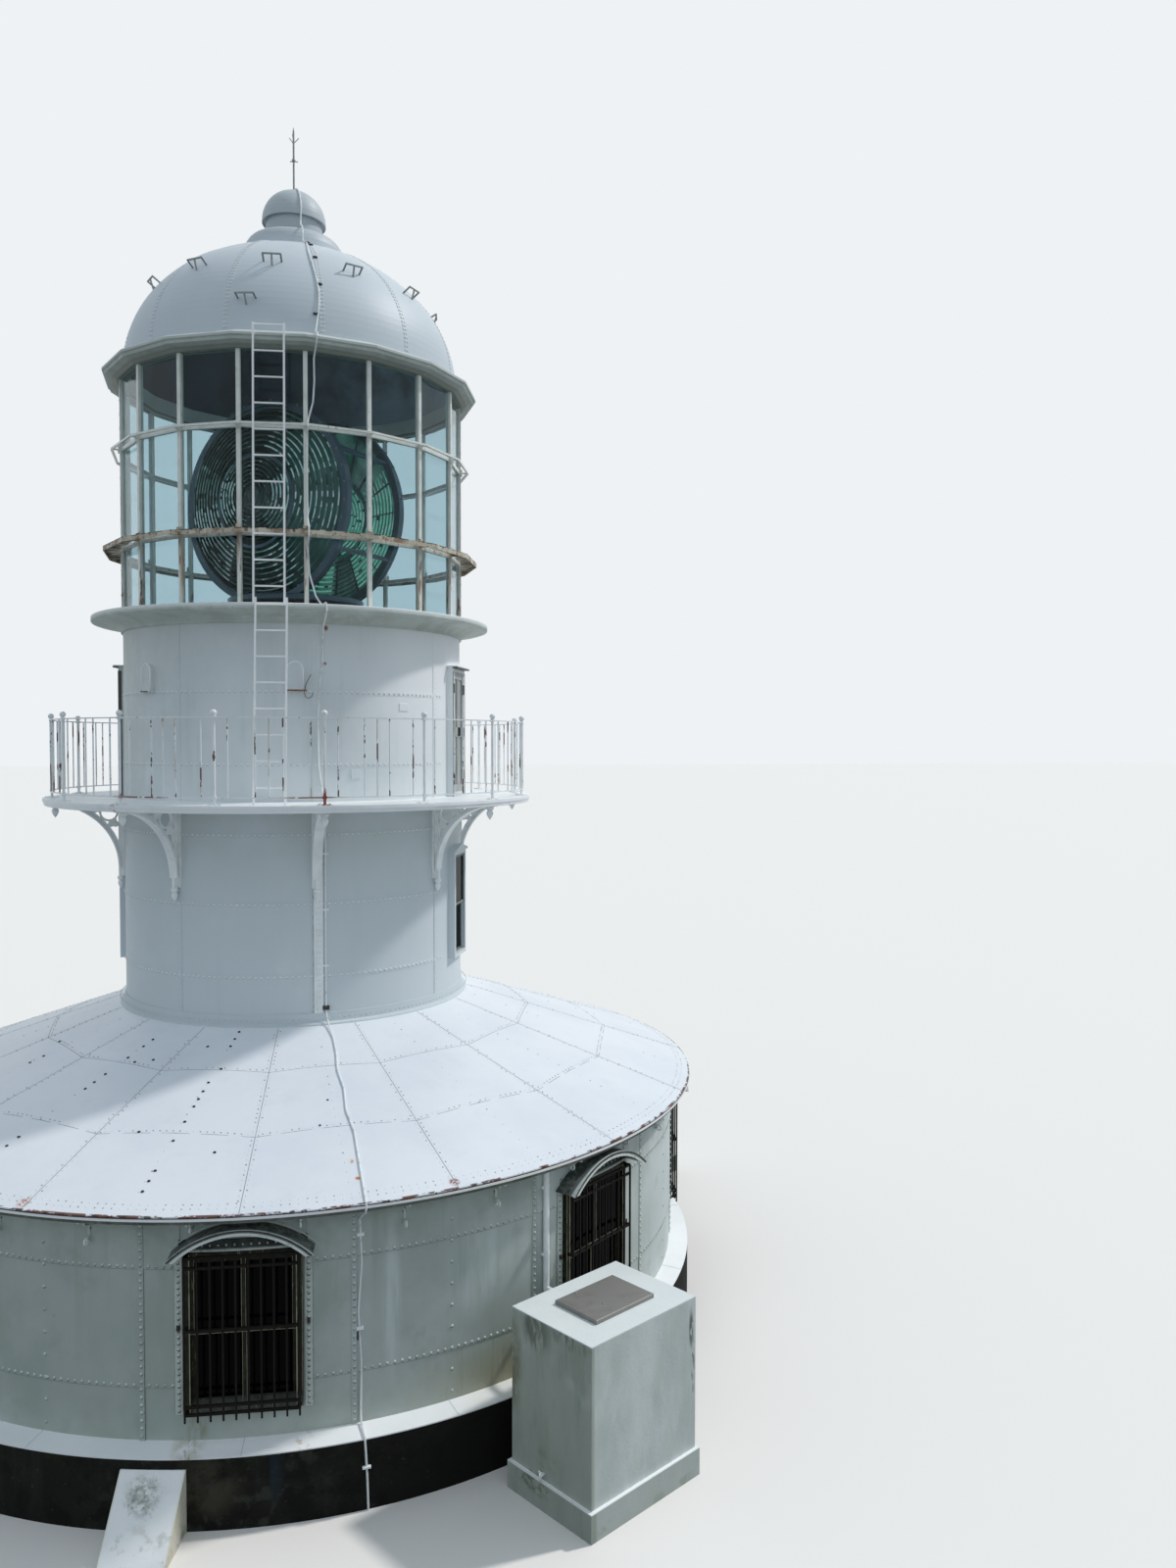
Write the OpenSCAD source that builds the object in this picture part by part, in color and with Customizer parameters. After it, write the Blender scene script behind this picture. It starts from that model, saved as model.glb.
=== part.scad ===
// Iron lighthouse with a round keeper's house at its foot, a gallery on cast
// brackets, and a lantern of eighteen sides round a turning lens of two valves.
// Millimetres, Z up. The origin is on the tower's axis at ground level.
// Angles are seen from above: 0 faces -Y and 90 faces +X.

/* [Masonry base] */
// How far the masonry base stands out past the house wall
base_out = 260; // [200:5:500]
// Height of the masonry base above the ground
base_h = 713; // [640:1:900]
// Height of the white ledge casting at the wall's foot
ledge_h = 42; // [20:1:80]
// Height of the ledge casting at its outer edge
ledge_lip = 12; // [6:1:18]

/* [Round house] */
// Outer radius of the round house wall
house_r = 5300; // [4800:10:5900]
// Thickness of the house wall, iron plates with their ribs and lining
house_wall = 120; // [60:5:140]
// Height of the roof's edge above the base's top
house_h = 2397; // [2200:1:2700]
// Number of wall bays round the house, one window in each
bay_n = 8; // [8:1:8]
// Angle of the window bay that faces the front
bay_a = -6.0; // [-12:0.1:6]
// The bay at the back that holds the entrance
door_bay = 4; // [4:1:4]

/* [House windows] */
// Width of a house window frame
win_w = 1150; // [900:5:1200]
// Height of the window frame's foot above the base's top
win_sill = 341; // [250:1:500]
// Distance from the window frame's head up to the roof's edge
win_head = 456; // [400:1:560]
// Section of the window frame's bars
win_bar = 55; // [35:1:80]
// Depth of the window frame from front to back
win_depth = 165; // [145:1:190]
// How far the window frame stands proud of the wall at its middle
win_proud = 30; // [25:1:50]
// Width of a sash's bars
sash_bar = 48; // [36:1:60]
// Thickness of a sash
sash_t = 42; // [30:1:44]
// Crown rise of the hood over a house window
hood_rise = 284; // [200:1:320]
// Span of the hood over a house window
hood_w = 1390; // [1240:5:1500]
// How far the hood stands out from the wall
hood_out = 250; // [150:5:280]
// Thickness of the hood's sheet
hood_t = 22; // [12:1:30]
// How far the window grille stands out from the window frame
grille_out = 90; // [60:1:120]
// Number of upright bars in a window grille
grille_n = 8; // [6:1:10]
// Section of a grille bar
grille_bar = 18; // [12:1:24]

/* [House roof] */
// How far the roof's edge stands out past the house wall
eave_out = 273; // [240:1:400]
// Height from the roof's edge up to where it meets the tower
roof_rise = 1080; // [900:1:1300]
// Thickness of the roof, measured upright
roof_t = 50; // [30:1:70]
// Number of small brackets under the eave
eave_bracket_n = 32; // [16:1:32]
// Drop of an eave bracket down the wall
eave_drop = 270; // [200:1:320]

/* [Tower] */
// Outer radius of the tower's drum
tower_r = 2300; // [2050:5:2600]
// Thickness of the tower's wall
tower_wall_t = 100; // [60:5:140]
// Height from the roof's top up to the gallery deck
tower_h = 2757; // [2450:1:3300]
// Angles of the tower windows and of the gallery doors
side_a = [68.4, -97];
// Width of a tower window's boxed frame
tower_win_w = 620; // [500:5:700]
// Height of a tower window's boxed frame
tower_win_h = 1468; // [1200:2:1640]
// Distance from a tower window's head up to the deck
tower_win_head = 725; // [600:1:800]
// Section of the boxed frame's bars
tower_box_bar = 50; // [36:1:64]
// Width of the doorway from the house into the tower
doorway_w = 800; // [700:10:900]

/* [Gallery] */
// How far the gallery deck stands out from the tower
deck_w = 1005; // [880:5:1130]
// Thickness of the deck plate
deck_t = 40; // [20:1:60]
// Depth of the rim under the deck's edge
rim_h = 47; // [30:1:80]
// Number of cast brackets under the gallery
bracket_n = 8; // [8:1:8]
// Angle of the first gallery bracket
bracket_a = 5.5; // [0:0.5:12]
// Width of the arch's rib in a gallery bracket
arch_rib = 70; // [50:1:90]
// Depth of a gallery bracket's leg along the tower
arch_leg = 80; // [60:1:100]
// Thickness of a gallery bracket's web
web_t = 44; // [30:1:60]
// Width of the ribs on a gallery bracket's web
web_rib = 120; // [80:1:140]
// Distance of the railing from the deck's edge
rail_inset = 105; // [90:1:150]
// Height of the top rail above the deck
rail_h = 1016; // [900:1:1150]
// Height of the lower rail above the deck
low_rail_h = 85; // [50:1:150]
// Width of a rail's flat bar
rail_w = 30; // [24:1:40]
// Thickness of a rail's flat bar
rail_t = 15; // [10:1:20]
// Number of railing posts
post_n = 16; // [16:8:24]
// Diameter of a railing post
post_d = 34; // [26:1:40]
// Diameter of a baluster
baluster_d = 18; // [12:1:22]

/* [Watch room] */
// How far the watch room's wall is set back from the tower's face
watch_set = 7; // [0:1:60]
// Height of the watch room's wall above the deck
watch_h = 2260; // [1990:1:2600]
// Width of a gallery door's frame
door_w = 640; // [560:5:720]
// Height of a gallery door's frame
door_h = 1772; // [1600:2:1960]
// Section of a gallery door's frame
door_bar = 58; // [44:1:70]
// Angles of the small hooded air holes
vent_a = [-52.5, -0.6, 127.5, 179.4];
// Width of an air hole's hood
vent_w = 200; // [160:2:240]
// Height of an air hole's hood
vent_h = 350; // [300:2:400]
// Distance from an air hole's foot up to the wall's top
vent_drop = 877; // [800:1:960]
// How far the moulded cornice stands out from the wall
cornice_out = 401; // [350:1:450]
// Height of the cornice above the wall's top
cornice_h = 145; // [125:1:180]

/* [Lantern] */
// Number of sides of the lantern
side_n = 18; // [18:1:18]
// Angle of the lantern's first corner
side_phase = 3.0; // [0:0.1:10]
// How far the glazing bars' outer faces stand out past the watch room's wall
glazing_out = 23; // [10:1:40]
// Radial depth of a glazing bar
mullion_d = 76; // [60:1:90]
// Width of a glazing bar
mullion_w = 52; // [36:1:70]
// Thickness of the lantern's glass
glass_t = 10; // [8:1:14]
// Height of the sill above the cornice
sill_h = 40; // [25:1:60]
// Height from the sill up to the lower ring of bars and the catwalk
tier1_h = 844; // [740:1:960]
// Height from the lower ring of bars up to the upper ring and the handrail
tier2_h = 1310; // [1150:1:1500]
// Height from the upper ring of bars up to the glass's top
tier3_h = 914; // [800:1:1100]
// Height of a ring of glazing bars
transom_h = 50; // [30:1:80]
// How far the catwalk's corners stand out past the glazing bars
catwalk_out = 224; // [195:1:255]
// How far the handrail's corners stand out past the glazing bars
handrail_out = 114; // [100:1:130]
// How far the lantern's eave stands out past the glazing bars
lantern_eave_out = 214; // [190:1:245]
// Height of the lantern's eave from the glass's top to the dome's foot
lantern_eave_h = 240; // [205:1:280]

/* [Dome] */
// How far the dome's foot is set back from the glazing bars' outer faces
dome_set = 66; // [50:1:76]
// Rise of the dome's curve, were it closed at the top
dome_rise = 1780; // [1560:5:2000]
// Thickness of the dome's sheet with its ribs
dome_t = 30; // [15:1:34]
// Thickness of the dome's inner lining
lining_t = 12; // [6:1:20]
// Radius of the ventilator's collar
collar_r = 680; // [600:5:765]
// Height of the ventilator's collar
collar_h = 290; // [255:5:325]
// Radius of the ventilator's ball
ball_r = 435; // [380:1:490]
// Height of the ball's top above the ventilator's foot
ball_rise = 983; // [860:1:1105]
// Height of the lightning rod above the ball
rod_h = 892; // [785:1:1000]
// Width of a staple handhold on the dome
hold_w = 220; // [160:2:230]
// How far a staple handhold stands out from the dome
hold_out = 110; // [80:2:130]

/* [Ladders] */
// Width of a ladder over its stiles
ladder_w = 385; // [340:1:430]
// Distance between a ladder's rungs
rung_pitch = 313; // [275:1:350]
// How far the lower ladder's foot stands out past the cornice
ladder_foot_out = 286; // [250:1:320]
// How far the upper ladder's foot is set back from the cornice's edge
ladder_foot_in = 94; // [80:1:120]

/* [Lens] */
// Height of the turntable's top above the lantern's floor
table_h = 423; // [370:1:480]
// Radius of the turntable
table_r = 935; // [900:5:1050]
// Outer radius of a valve's frame
valve_r = 1370; // [1205:5:1500]
// Width of a valve's frame
valve_rim = 95; // [60:1:120]
// How deep a valve's frame is let into the turntable
valve_seat = 120; // [100:1:140]
// Distance of a valve's rim from the axis
valve_off = 640; // [560:5:700]
// How far a valve bulges out past its rim
valve_bulge = 270; // [235:5:305]
// Direction that the first valve faces at rest
lens_a = -38.7; // [-60:0.1:0]
// Outer radius of a valve's inner zone of glass
inner_r = 600; // [530:5:680]
// Width of the iron ring between the two zones of glass
zone_rim = 40; // [30:1:50]
// Number of radial bars in a valve
spoke_n = 18; // [12:2:24]

/* [Rainwater and earthing] */
// Diameter of a rainwater pipe
pipe_d = 70; // [50:1:90]
// Radius of the earthing cable in its sheath
cable_r = 11; // [8:0.5:14]

/* [Yard pieces] */
// Angles of the water tanks
tank_a = [30.3, 120.3];
// Height of a water tank
tank_h = 1900; // [1700:10:2120]
// Width of a water tank
tank_w = 1520; // [1340:10:1700]
// Depth of a water tank
tank_d = 1170; // [1030:10:1300]
// Clearance between the base and a tank's plinth
tank_clear = 230; // [150:5:320]
// Sideways shift of a tank from its pipe
tank_shift = -206; // [-300:1:0]
// Height of a tank's plinth
tank_foot_h = 290; // [255:1:325]
// How far a tank's plinth stands out past its sides
tank_gap = 35; // [20:1:50]
// Angle of the sloping block against the base
block_a = -14.65; // [-20:0.05:-10]
// Width of the sloping block
block_w = 640; // [560:5:720]
// Height of the sloping block
block_h = 620; // [540:5:620]
// How far the sloping block's foot reaches past the base
block_out = 590; // [520:5:660]

/* [Hidden] */
$fn = 180;
long_fn = 720; // circles that meet a long curved face of the base
eps = 1;
seat = 0.6; // clearance of a piece that seats on another's curved or level face
fit = 0.5; // clearance of a frame in its opening

// Heights, each stacked on the one below
ledge_top_z = base_h + ledge_h;
eave_z = base_h + house_h;
roof_top_z = eave_z + roof_rise;
deck_z = roof_top_z + tower_h;
deck_under_z = deck_z - deck_t;
watch_top_z = deck_z + watch_h;
floor_t = 60;
lantern_floor_z = watch_top_z + floor_t;
cornice_z = watch_top_z + cornice_h;
sill_z = cornice_z + sill_h;
tier1_z = sill_z + tier1_h;
tier2_z = tier1_z + tier2_h;
glass_top_z = tier2_z + tier3_h;
dome_z = glass_top_z + lantern_eave_h;

// Radii, each from the wall that carries the piece
base_r = house_r + base_out;
eave_r = house_r + eave_out;
deck_r = tower_r + deck_w;
rail_r = deck_r - rail_inset;
watch_r = tower_r - watch_set;
watch_in = watch_r - tower_wall_t;
cornice_r = watch_r + cornice_out;
glazing_r = watch_r + glazing_out;
mullion_in_r = glazing_r - mullion_d;
pane_r = glazing_r - 30;
catwalk_r = glazing_r + catwalk_out;
handrail_r = glazing_r + handrail_out;
lantern_eave_r = glazing_r + lantern_eave_out;
dome_r = glazing_r - dome_set;
roof_slope = roof_rise / (eave_r - tower_r);
corner_half = 180 / side_n;

// House windows and the entrance
window_bays = [for (k = [0:bay_n - 1]) if (k != door_bay) k];
win_z = base_h + win_sill;
win_h = house_h - win_sill - win_head;
win_face_y = house_r + win_proud;
clear_w = win_w - 2 * win_bar;
clear_h = win_h - 2 * win_bar;
sash_gap = 4;
sash_h = clear_h / 2 + sash_bar / 2;
upper_sash_front = win_face_y - 30;
lower_sash_front = upper_sash_front - sash_t - sash_gap;
pane_t = 6;

// Eave ring
eave_ring_r = eave_r - 23;
eave_ring_in = eave_ring_r - 110;
eave_ring_z = eave_z - 90;

// Tower windows
tower_win_z = deck_under_z - tower_win_head - tower_win_h;
tower_box_front = tower_r + 72;
tower_box_depth = 160;
tower_clear_w = tower_win_w - 2 * tower_box_bar;
tower_clear_h = tower_win_h - 2 * tower_box_bar;
tower_sash_bar = 36;
tower_sash_t = 36;
tower_sash_h = (tower_clear_h + tower_sash_bar) / 2;
tower_sash_front = tower_box_front - 14;

// Gallery brackets, deck rim and railing
rim_r = deck_r - 15;
rim_t = 35;
arm_t = 57;
arch_x = rim_r - rim_t - 15;
arch_r = arch_x - tower_r - arch_leg;
arch_z = deck_under_z - arm_t - arch_r;
leg_drop = 120;
pendant_h = 190;
pendant_r = 52;
round_hole_r = (arch_r * sqrt(2) - arch_r - arch_rib) / (sqrt(2) + 1);
bay_span = 360 / post_n;
boss_w = 44;
boss_a = boss_w / rail_r * 180 / PI;
rail_z = deck_z + rail_h;
low_rail_z = deck_z + low_rail_h;
post_ball_z = rail_z + 62;

// Watch room
door_front = watch_r + 62;
vent_z = watch_top_z - vent_drop;
hatch_w = 800;
hatch_l = 900;
hatch_y = tower_r - tower_wall_t - hatch_l / 2 - 500;

// Dome, ventilator and rod
dome_top_a = acos(collar_r / dome_r);
dome_cap_z = dome_z + dome_rise * sin(dome_top_a);
dome_steps = 26;
ball_top_z = dome_cap_z + ball_rise;
ball_z = ball_top_z - ball_r;
rod_top_z = ball_top_z + rod_h;
rod_foot_r = 45;
hold_d = 24;
holds_upper = [for (i = [0:11]) -8 + i * 30];
hold_t_upper = 33.2;
hold_t_lower = 13.2;

// Ladders
ladder_a = side_phase - corner_half;
low_ladder_a = ladder_a + 0.8;
stile_w = 22;
stile_d = 40;
rung_d = 22;

// Lens
table_z = lantern_floor_z + table_h;
table_t = 90;
thrust_gap = 0.5;
pedestal_top = table_z - table_t - 25;
lens_z = table_z + valve_r - valve_seat;
valve_depth = 90;
glass_in = valve_r - valve_rim;
zone_in = inner_r + zone_rim;
prism_t = 34;
spoke_t = 24;
seat_gap = 0.05;
ring_n_outer = 9;
ring_n_inner = 8;
tooth_h = 11;

// Rainwater pipes and tanks
pipe_r = house_r + pipe_d / 2 + 6;
tank_in_r = base_r + tank_clear;
tank_back = tank_in_r + tank_gap;
lid_w = 830;
lid_d = 600;
lid_t = 40;

// Height of the roof's top surface at a radius
function roof_z(r) = roof_top_z - (r - tower_r) * roof_slope;

// Height of the roof's underside at a radius
function soffit_z(r) = roof_z(r) - roof_t;

// Points of an ellipse's arc in a radius and height plane
function ellipse_pts(a, b, z0, a0, a1, n) =
    [for (i = [0:n]) let (t = a0 + (a1 - a0) * i / n) [a * cos(t), z0 + b * sin(t)]];

// Place a piece that is drawn facing -Y at an angle, a radius and a height
module at(angle, r = 0, z = 0) {
    rotate([0, 0, angle]) translate([0, -r, z]) children();
}

// A ring between two radii and two heights
module ring(r_in, r_out, z0, z1) {
    rotate_extrude() translate([r_in, z0]) square([r_out - r_in, z1 - z0]);
}

// A turned solid from a closed outline of radius and height points
module turned(pts) {
    rotate_extrude() polygon(pts);
}

// A closed ring of flat sides from an outline of corner radius and height
module faceted_ring(outline) {
    m = len(outline);
    points = [for (k = [0:side_n - 1]) for (p = outline)
        let (t = side_phase + 2 * corner_half * k) [p[0] * sin(t), -p[0] * cos(t), p[1]]];
    faces = [for (k = [0:side_n - 1]) for (i = [0:m - 1])
        let (a = k * m, b = ((k + 1) % side_n) * m, j = (i + 1) % m)
        [a + i, b + i, b + j, a + j]];
    polyhedron(points = points, faces = faces);
}

// A flat polygon of the lantern's sides, seen from above
module lantern_polygon(r) {
    polygon([for (k = [0:side_n - 1])
        let (t = side_phase + 2 * corner_half * k) [r * sin(t), -r * cos(t)]]);
}

// A plain slab of the lantern's polygon between two corner radii
module lantern_band(r_in, r_out, z0, z1) {
    translate([0, 0, z0]) linear_extrude(z1 - z0) difference() {
        lantern_polygon(r_out);
        lantern_polygon(r_in);
    }
}

// A block centred on the -Y axis between two radii and two heights
module block_y(w, r_in, r_out, z0, z1) {
    translate([-w / 2, -r_out, z0]) cube([w, r_out - r_in, z1 - z0]);
}

// A rectangular frame that faces -Y, with its front at a radius
module frame_y(w, h, z, bar, front, depth) {
    difference() {
        block_y(w, front - depth, front, z, z + h);
        block_y(w - 2 * bar, front - depth - eps, front + eps, z + bar, z + h - bar);
    }
}

module base() {
    color("#34352f") cylinder(r = base_r, h = base_h);
}

module ledge() {
    foot_in = house_r - house_wall;
    color("#e4e7e4") turned([
        [foot_in, base_h],
        [base_r, base_h],
        [base_r, base_h + ledge_lip],
        [house_r, ledge_top_z],
        [foot_in, ledge_top_z]]);
}

// A quarter of the round wall, two bays wide, with its top cut to the roof's slope
module house_quarter(first_bay) {
    r_in = house_r - house_wall;
    span = 360 / bay_n;
    z0 = ledge_top_z;
    color("#c3ccc8") difference() {
        rotate([0, 0, bay_a + span * (first_bay - 0.5) - 90]) rotate_extrude(angle = 2 * span) polygon([
            [r_in, z0],
            [house_r, z0],
            [house_r, soffit_z(house_r) - seat],
            [r_in, soffit_z(r_in) - seat]]);
        for (k = [first_bay, first_bay + 1]) rotate([0, 0, bay_a + span * k]) {
            foot = k == door_bay ? z0 - eps : win_z - fit;
            block_y(win_w + 2 * fit, r_in - 200, house_r + 200, foot, win_z + win_h + fit);
        }
    }
}

module house_wall_front() { house_quarter(0); }
module house_wall_right() { house_quarter(2); }
module house_wall_back() { house_quarter(4); }
module house_wall_left() { house_quarter(6); }

// Repeat a piece at each house window
module each_window() {
    for (k = window_bays) rotate([0, 0, bay_a + 360 / bay_n * k]) children();
}

module house_window_frames() {
    color("#5d5b47") each_window()
        frame_y(win_w, win_h, win_z, win_bar, win_face_y, win_depth);
}

// One sash with an upright bar between its two panes
module sash(w, h, z, bar, front, depth) {
    frame_y(w, h, z, bar, front, depth);
    block_y(bar, front - depth, front, z + bar, z + h - bar);
}

module house_sashes() {
    color("#6a6750") each_window() {
        sash(clear_w, sash_h, win_z + win_bar + clear_h - sash_h, sash_bar, upper_sash_front, sash_t);
        sash(clear_w, sash_h, win_z + win_bar, sash_bar, lower_sash_front, sash_t);
    }
}

// The two panes of one sash
module sash_panes(w, h, z, bar, front, depth) {
    pane_w = (w - 3 * bar) / 2;
    mid = front - depth / 2;
    for (side = [-1, 1])
        translate([side * (pane_w + bar) / 2, 0, 0])
            block_y(pane_w, mid - pane_t / 2, mid + pane_t / 2, z + bar, z + h - bar);
}

module house_glass() {
    color("#1c2422") each_window() {
        sash_panes(clear_w, sash_h, win_z + win_bar + clear_h - sash_h, sash_bar, upper_sash_front, sash_t);
        sash_panes(clear_w, sash_h, win_z + win_bar, sash_bar, lower_sash_front, sash_t);
    }
}

// A barred cage that stands off the window frame on four corner arms
module grille() {
    front = win_face_y + grille_out;
    bar_w = win_w - 30;
    foot = win_z - 50;
    pitch = (bar_w - grille_bar) / (grille_n + 1);
    levels = [win_z + 12, win_z + 90, win_z + win_h * 0.53, win_z + win_h - 130, win_z + win_h - 30];
    for (i = [0:grille_n + 1])
        translate([-bar_w / 2 + pitch * i + grille_bar / 2, 0, 0])
            block_y(grille_bar, front - grille_bar, front, foot, win_z + win_h - 20);
    for (z = levels)
        block_y(bar_w, front - grille_bar - 10, front - 4, z, z + 26);
    for (side = [-1, 1]) for (z = [levels[0], levels[2], levels[4]])
        translate([side * (bar_w / 2 - grille_bar), 0, 0])
            block_y(2 * grille_bar, win_face_y, front - 4, z, z + 26);
}

module window_grilles() {
    color("#3b3a30") each_window() grille();
}

// A curved sheet over the window, with a turned edge at its front
module hood() {
    arc_r = (hood_w * hood_w / 4 + hood_rise * hood_rise) / (2 * hood_rise);
    foot_z = win_z + win_h + 4;
    centre_z = foot_z + hood_rise - arc_r;
    lip = 26;
    difference() {
        union() {
            translate([0, -house_r + 60, centre_z]) rotate([90, 0, 0])
                linear_extrude(hood_out + 60) difference() {
                    circle(r = arc_r);
                    circle(r = arc_r - hood_t);
                }
            translate([0, -house_r - hood_out + lip, centre_z]) rotate([90, 0, 0])
                linear_extrude(lip) difference() {
                    circle(r = arc_r + 8);
                    circle(r = arc_r - hood_t - lip);
                }
        }
        translate([-2 * arc_r, -house_r - hood_out - eps, centre_z - 2 * arc_r])
            cube([4 * arc_r, hood_out + 100, foot_z - centre_z + 2 * arc_r]);
        cylinder(r = house_r + seat, h = 2 * eave_z);
    }
}

module window_hoods() {
    color("#dfe4e2") each_window() hood();
}

// Entrance at the back: a boarded door in its frame, flush with the wall
module house_door() {
    z0 = ledge_top_z + seat;
    h = win_z + win_h - z0;
    front = win_face_y;
    color("#5d5b47") rotate([0, 0, bay_a + 360 / bay_n * door_bay]) {
        frame_y(win_w, h, z0, win_bar, front, win_depth);
        block_y(clear_w, front - 95, front - 40, z0 + win_bar, z0 + h - win_bar);
    }
}

// Three masonry steps up to the entrance
module house_steps() {
    rise = base_h / 4;
    going = 300;
    step_w = 1600;
    color("#8f928b") rotate([0, 0, bay_a + 360 / bay_n * door_bay]) difference() {
        for (i = [0:2])
            block_y(step_w, base_r - 200, base_r + going * (3 - i), 0, rise * (i + 1));
        translate([0, 0, -eps]) cylinder(r = base_r + seat, h = base_h, $fn = long_fn);
    }
}

module eave_ring() {
    color("#c9cfcb") turned([
        [eave_ring_in, eave_ring_z],
        [eave_ring_r, eave_ring_z],
        [eave_ring_r, soffit_z(eave_ring_r) - seat],
        [eave_ring_in, soffit_z(eave_ring_in) - seat]]);
}

// Angle from a direction to the nearest window's middle
function off_window(a) = abs((a - bay_a + 180 / bay_n + 360) % (360 / bay_n) - 180 / bay_n);

// A small scrolled bracket between the house wall and the eave ring
module eave_bracket(drop) {
    reach = eave_ring_in + 70 - house_r;
    bar = 24;
    curl = 46;
    difference() {
        rotate([90, 0, -90]) translate([0, 0, -12]) linear_extrude(24) union() {
            translate([house_r - 20, eave_ring_z - drop]) square([bar + 20, drop - seat]);
            translate([house_r - 20, eave_ring_z - bar]) square([reach + 20, bar - seat]);
            translate([house_r + bar + curl - 6, eave_ring_z - bar - curl + 6]) difference() {
                circle(r = curl);
                circle(r = curl - 16);
            }
            translate([house_r + bar - 4, eave_ring_z - drop + 26]) difference() {
                circle(r = 30);
                circle(r = 15);
            }
        }
        cylinder(r = house_r + seat, h = 2 * eave_z);
    }
}

module eave_brackets() {
    color("#cfd5d2") for (k = [0:eave_bracket_n - 1]) let (a = k * 360 / eave_bracket_n)
        rotate([0, 0, a]) eave_bracket(off_window(a) < 8 ? eave_drop / 2 - 5 : eave_drop);
}

module cone_roof() {
    color("#eef0f2") turned([
        [tower_r + seat, soffit_z(tower_r)],
        [eave_r, soffit_z(eave_r)],
        [eave_r, eave_z],
        [tower_r + seat, roof_top_z]]);
}

// Angle ring that closes the joint between the roof and the tower
module roof_curb() {
    leg = 16;
    foot = 76;
    up = 120;
    color("#e8ebe9") turned([
        [tower_r + seat, roof_z(tower_r) + seat],
        [tower_r + foot, roof_z(tower_r + foot) + seat],
        [tower_r + foot, roof_z(tower_r + foot) + leg],
        [tower_r + leg, roof_z(tower_r + leg) + leg],
        [tower_r + leg, roof_z(tower_r) + up],
        [tower_r + seat, roof_z(tower_r) + up]]);
}

// The tower's drum from the base to the gallery, with a doorway in the house
module tower_wall() {
    r_in = tower_r - tower_wall_t;
    color("#ccd5d3") difference() {
        ring(r_in, tower_r, base_h, deck_under_z);
        for (a = side_a) rotate([0, 0, a])
            block_y(tower_win_w + 2 * fit, r_in - 100, tower_r + 100, tower_win_z - fit,
                tower_win_z + tower_win_h + fit);
        rotate([0, 0, side_a[0]])
            block_y(doorway_w, r_in - 100, tower_r + 100, base_h - eps, base_h + 1950);
    }
}

// The boxed frame of a tower window, with a low gable over its head
module tower_window_frames() {
    top = tower_win_z + tower_win_h;
    color("#dfe3e0") for (a = side_a) rotate([0, 0, a]) {
        frame_y(tower_win_w, tower_win_h, tower_win_z, tower_box_bar, tower_box_front, tower_box_depth);
        difference() {
            rotate([90, 0, 0]) translate([0, 0, tower_r - 60]) linear_extrude(tower_box_front + 85 - tower_r)
                polygon([[-tower_win_w / 2 - 25, top + seat], [tower_win_w / 2 + 25, top + seat],
                    [tower_win_w / 2 + 25, top + 25], [0, top + 95], [-tower_win_w / 2 - 25, top + 25]]);
            cylinder(r = tower_r + seat, h = 2 * top);
        }
    }
}

// Place a tower window's upper and lower sash, the lower one behind the upper
module each_tower_sash() {
    foot = tower_win_z + tower_box_bar;
    color("#d6dad6") for (a = side_a) rotate([0, 0, a]) {
        translate([0, 0, foot + tower_clear_h - tower_sash_h]) children();
        translate([0, tower_sash_t + sash_gap, foot]) children();
    }
}

module tower_sashes() {
    each_tower_sash()
        frame_y(tower_clear_w, tower_sash_h, 0, tower_sash_bar, tower_sash_front, tower_sash_t);
}

module tower_glass() {
    mid = tower_sash_front - tower_sash_t / 2;
    color("#27302f") each_tower_sash()
        block_y(tower_clear_w - 2 * tower_sash_bar, mid - pane_t / 2, mid + pane_t / 2,
            tower_sash_bar, tower_sash_h - tower_sash_bar);
}

// Three overlapping lobes that fill a corner of the bracket's open work
module trefoil(r) {
    for (a = [90, 210, 330]) rotate(a) translate([r * 0.85, 0]) circle(r = r);
}

// Outline of the bracket's web: arch, round eye, trefoils, leg and arm
module bracket_web() {
    eye = arch_leg + round_hole_r;
    lobe = arch_r * 0.047;
    difference() {
        union() {
            translate([tower_r - 20, arch_z - leg_drop])
                square([arch_leg + 20, arch_r + arm_t + leg_drop - seat]);
            translate([tower_r - 20, deck_under_z - arm_t]) square([arch_x - tower_r + 20, arm_t - seat]);
            intersection() {
                translate([arch_x, arch_z]) difference() {
                    circle(r = arch_r + arch_rib);
                    circle(r = arch_r);
                }
                translate([tower_r, arch_z]) square([arch_x - tower_r, arch_r + arm_t - seat]);
            }
            translate([tower_r + eye, deck_under_z - arm_t - round_hole_r]) circle(r = round_hole_r + 3);
            translate([tower_r + arch_leg + 62, arch_z + arch_r * 0.70]) trefoil(lobe);
            translate([arch_x - arch_r * 0.70, deck_under_z - arm_t - 62]) trefoil(lobe);
        }
        translate([tower_r + eye, deck_under_z - arm_t - round_hole_r]) circle(r = round_hole_r - 24);
    }
}

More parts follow.
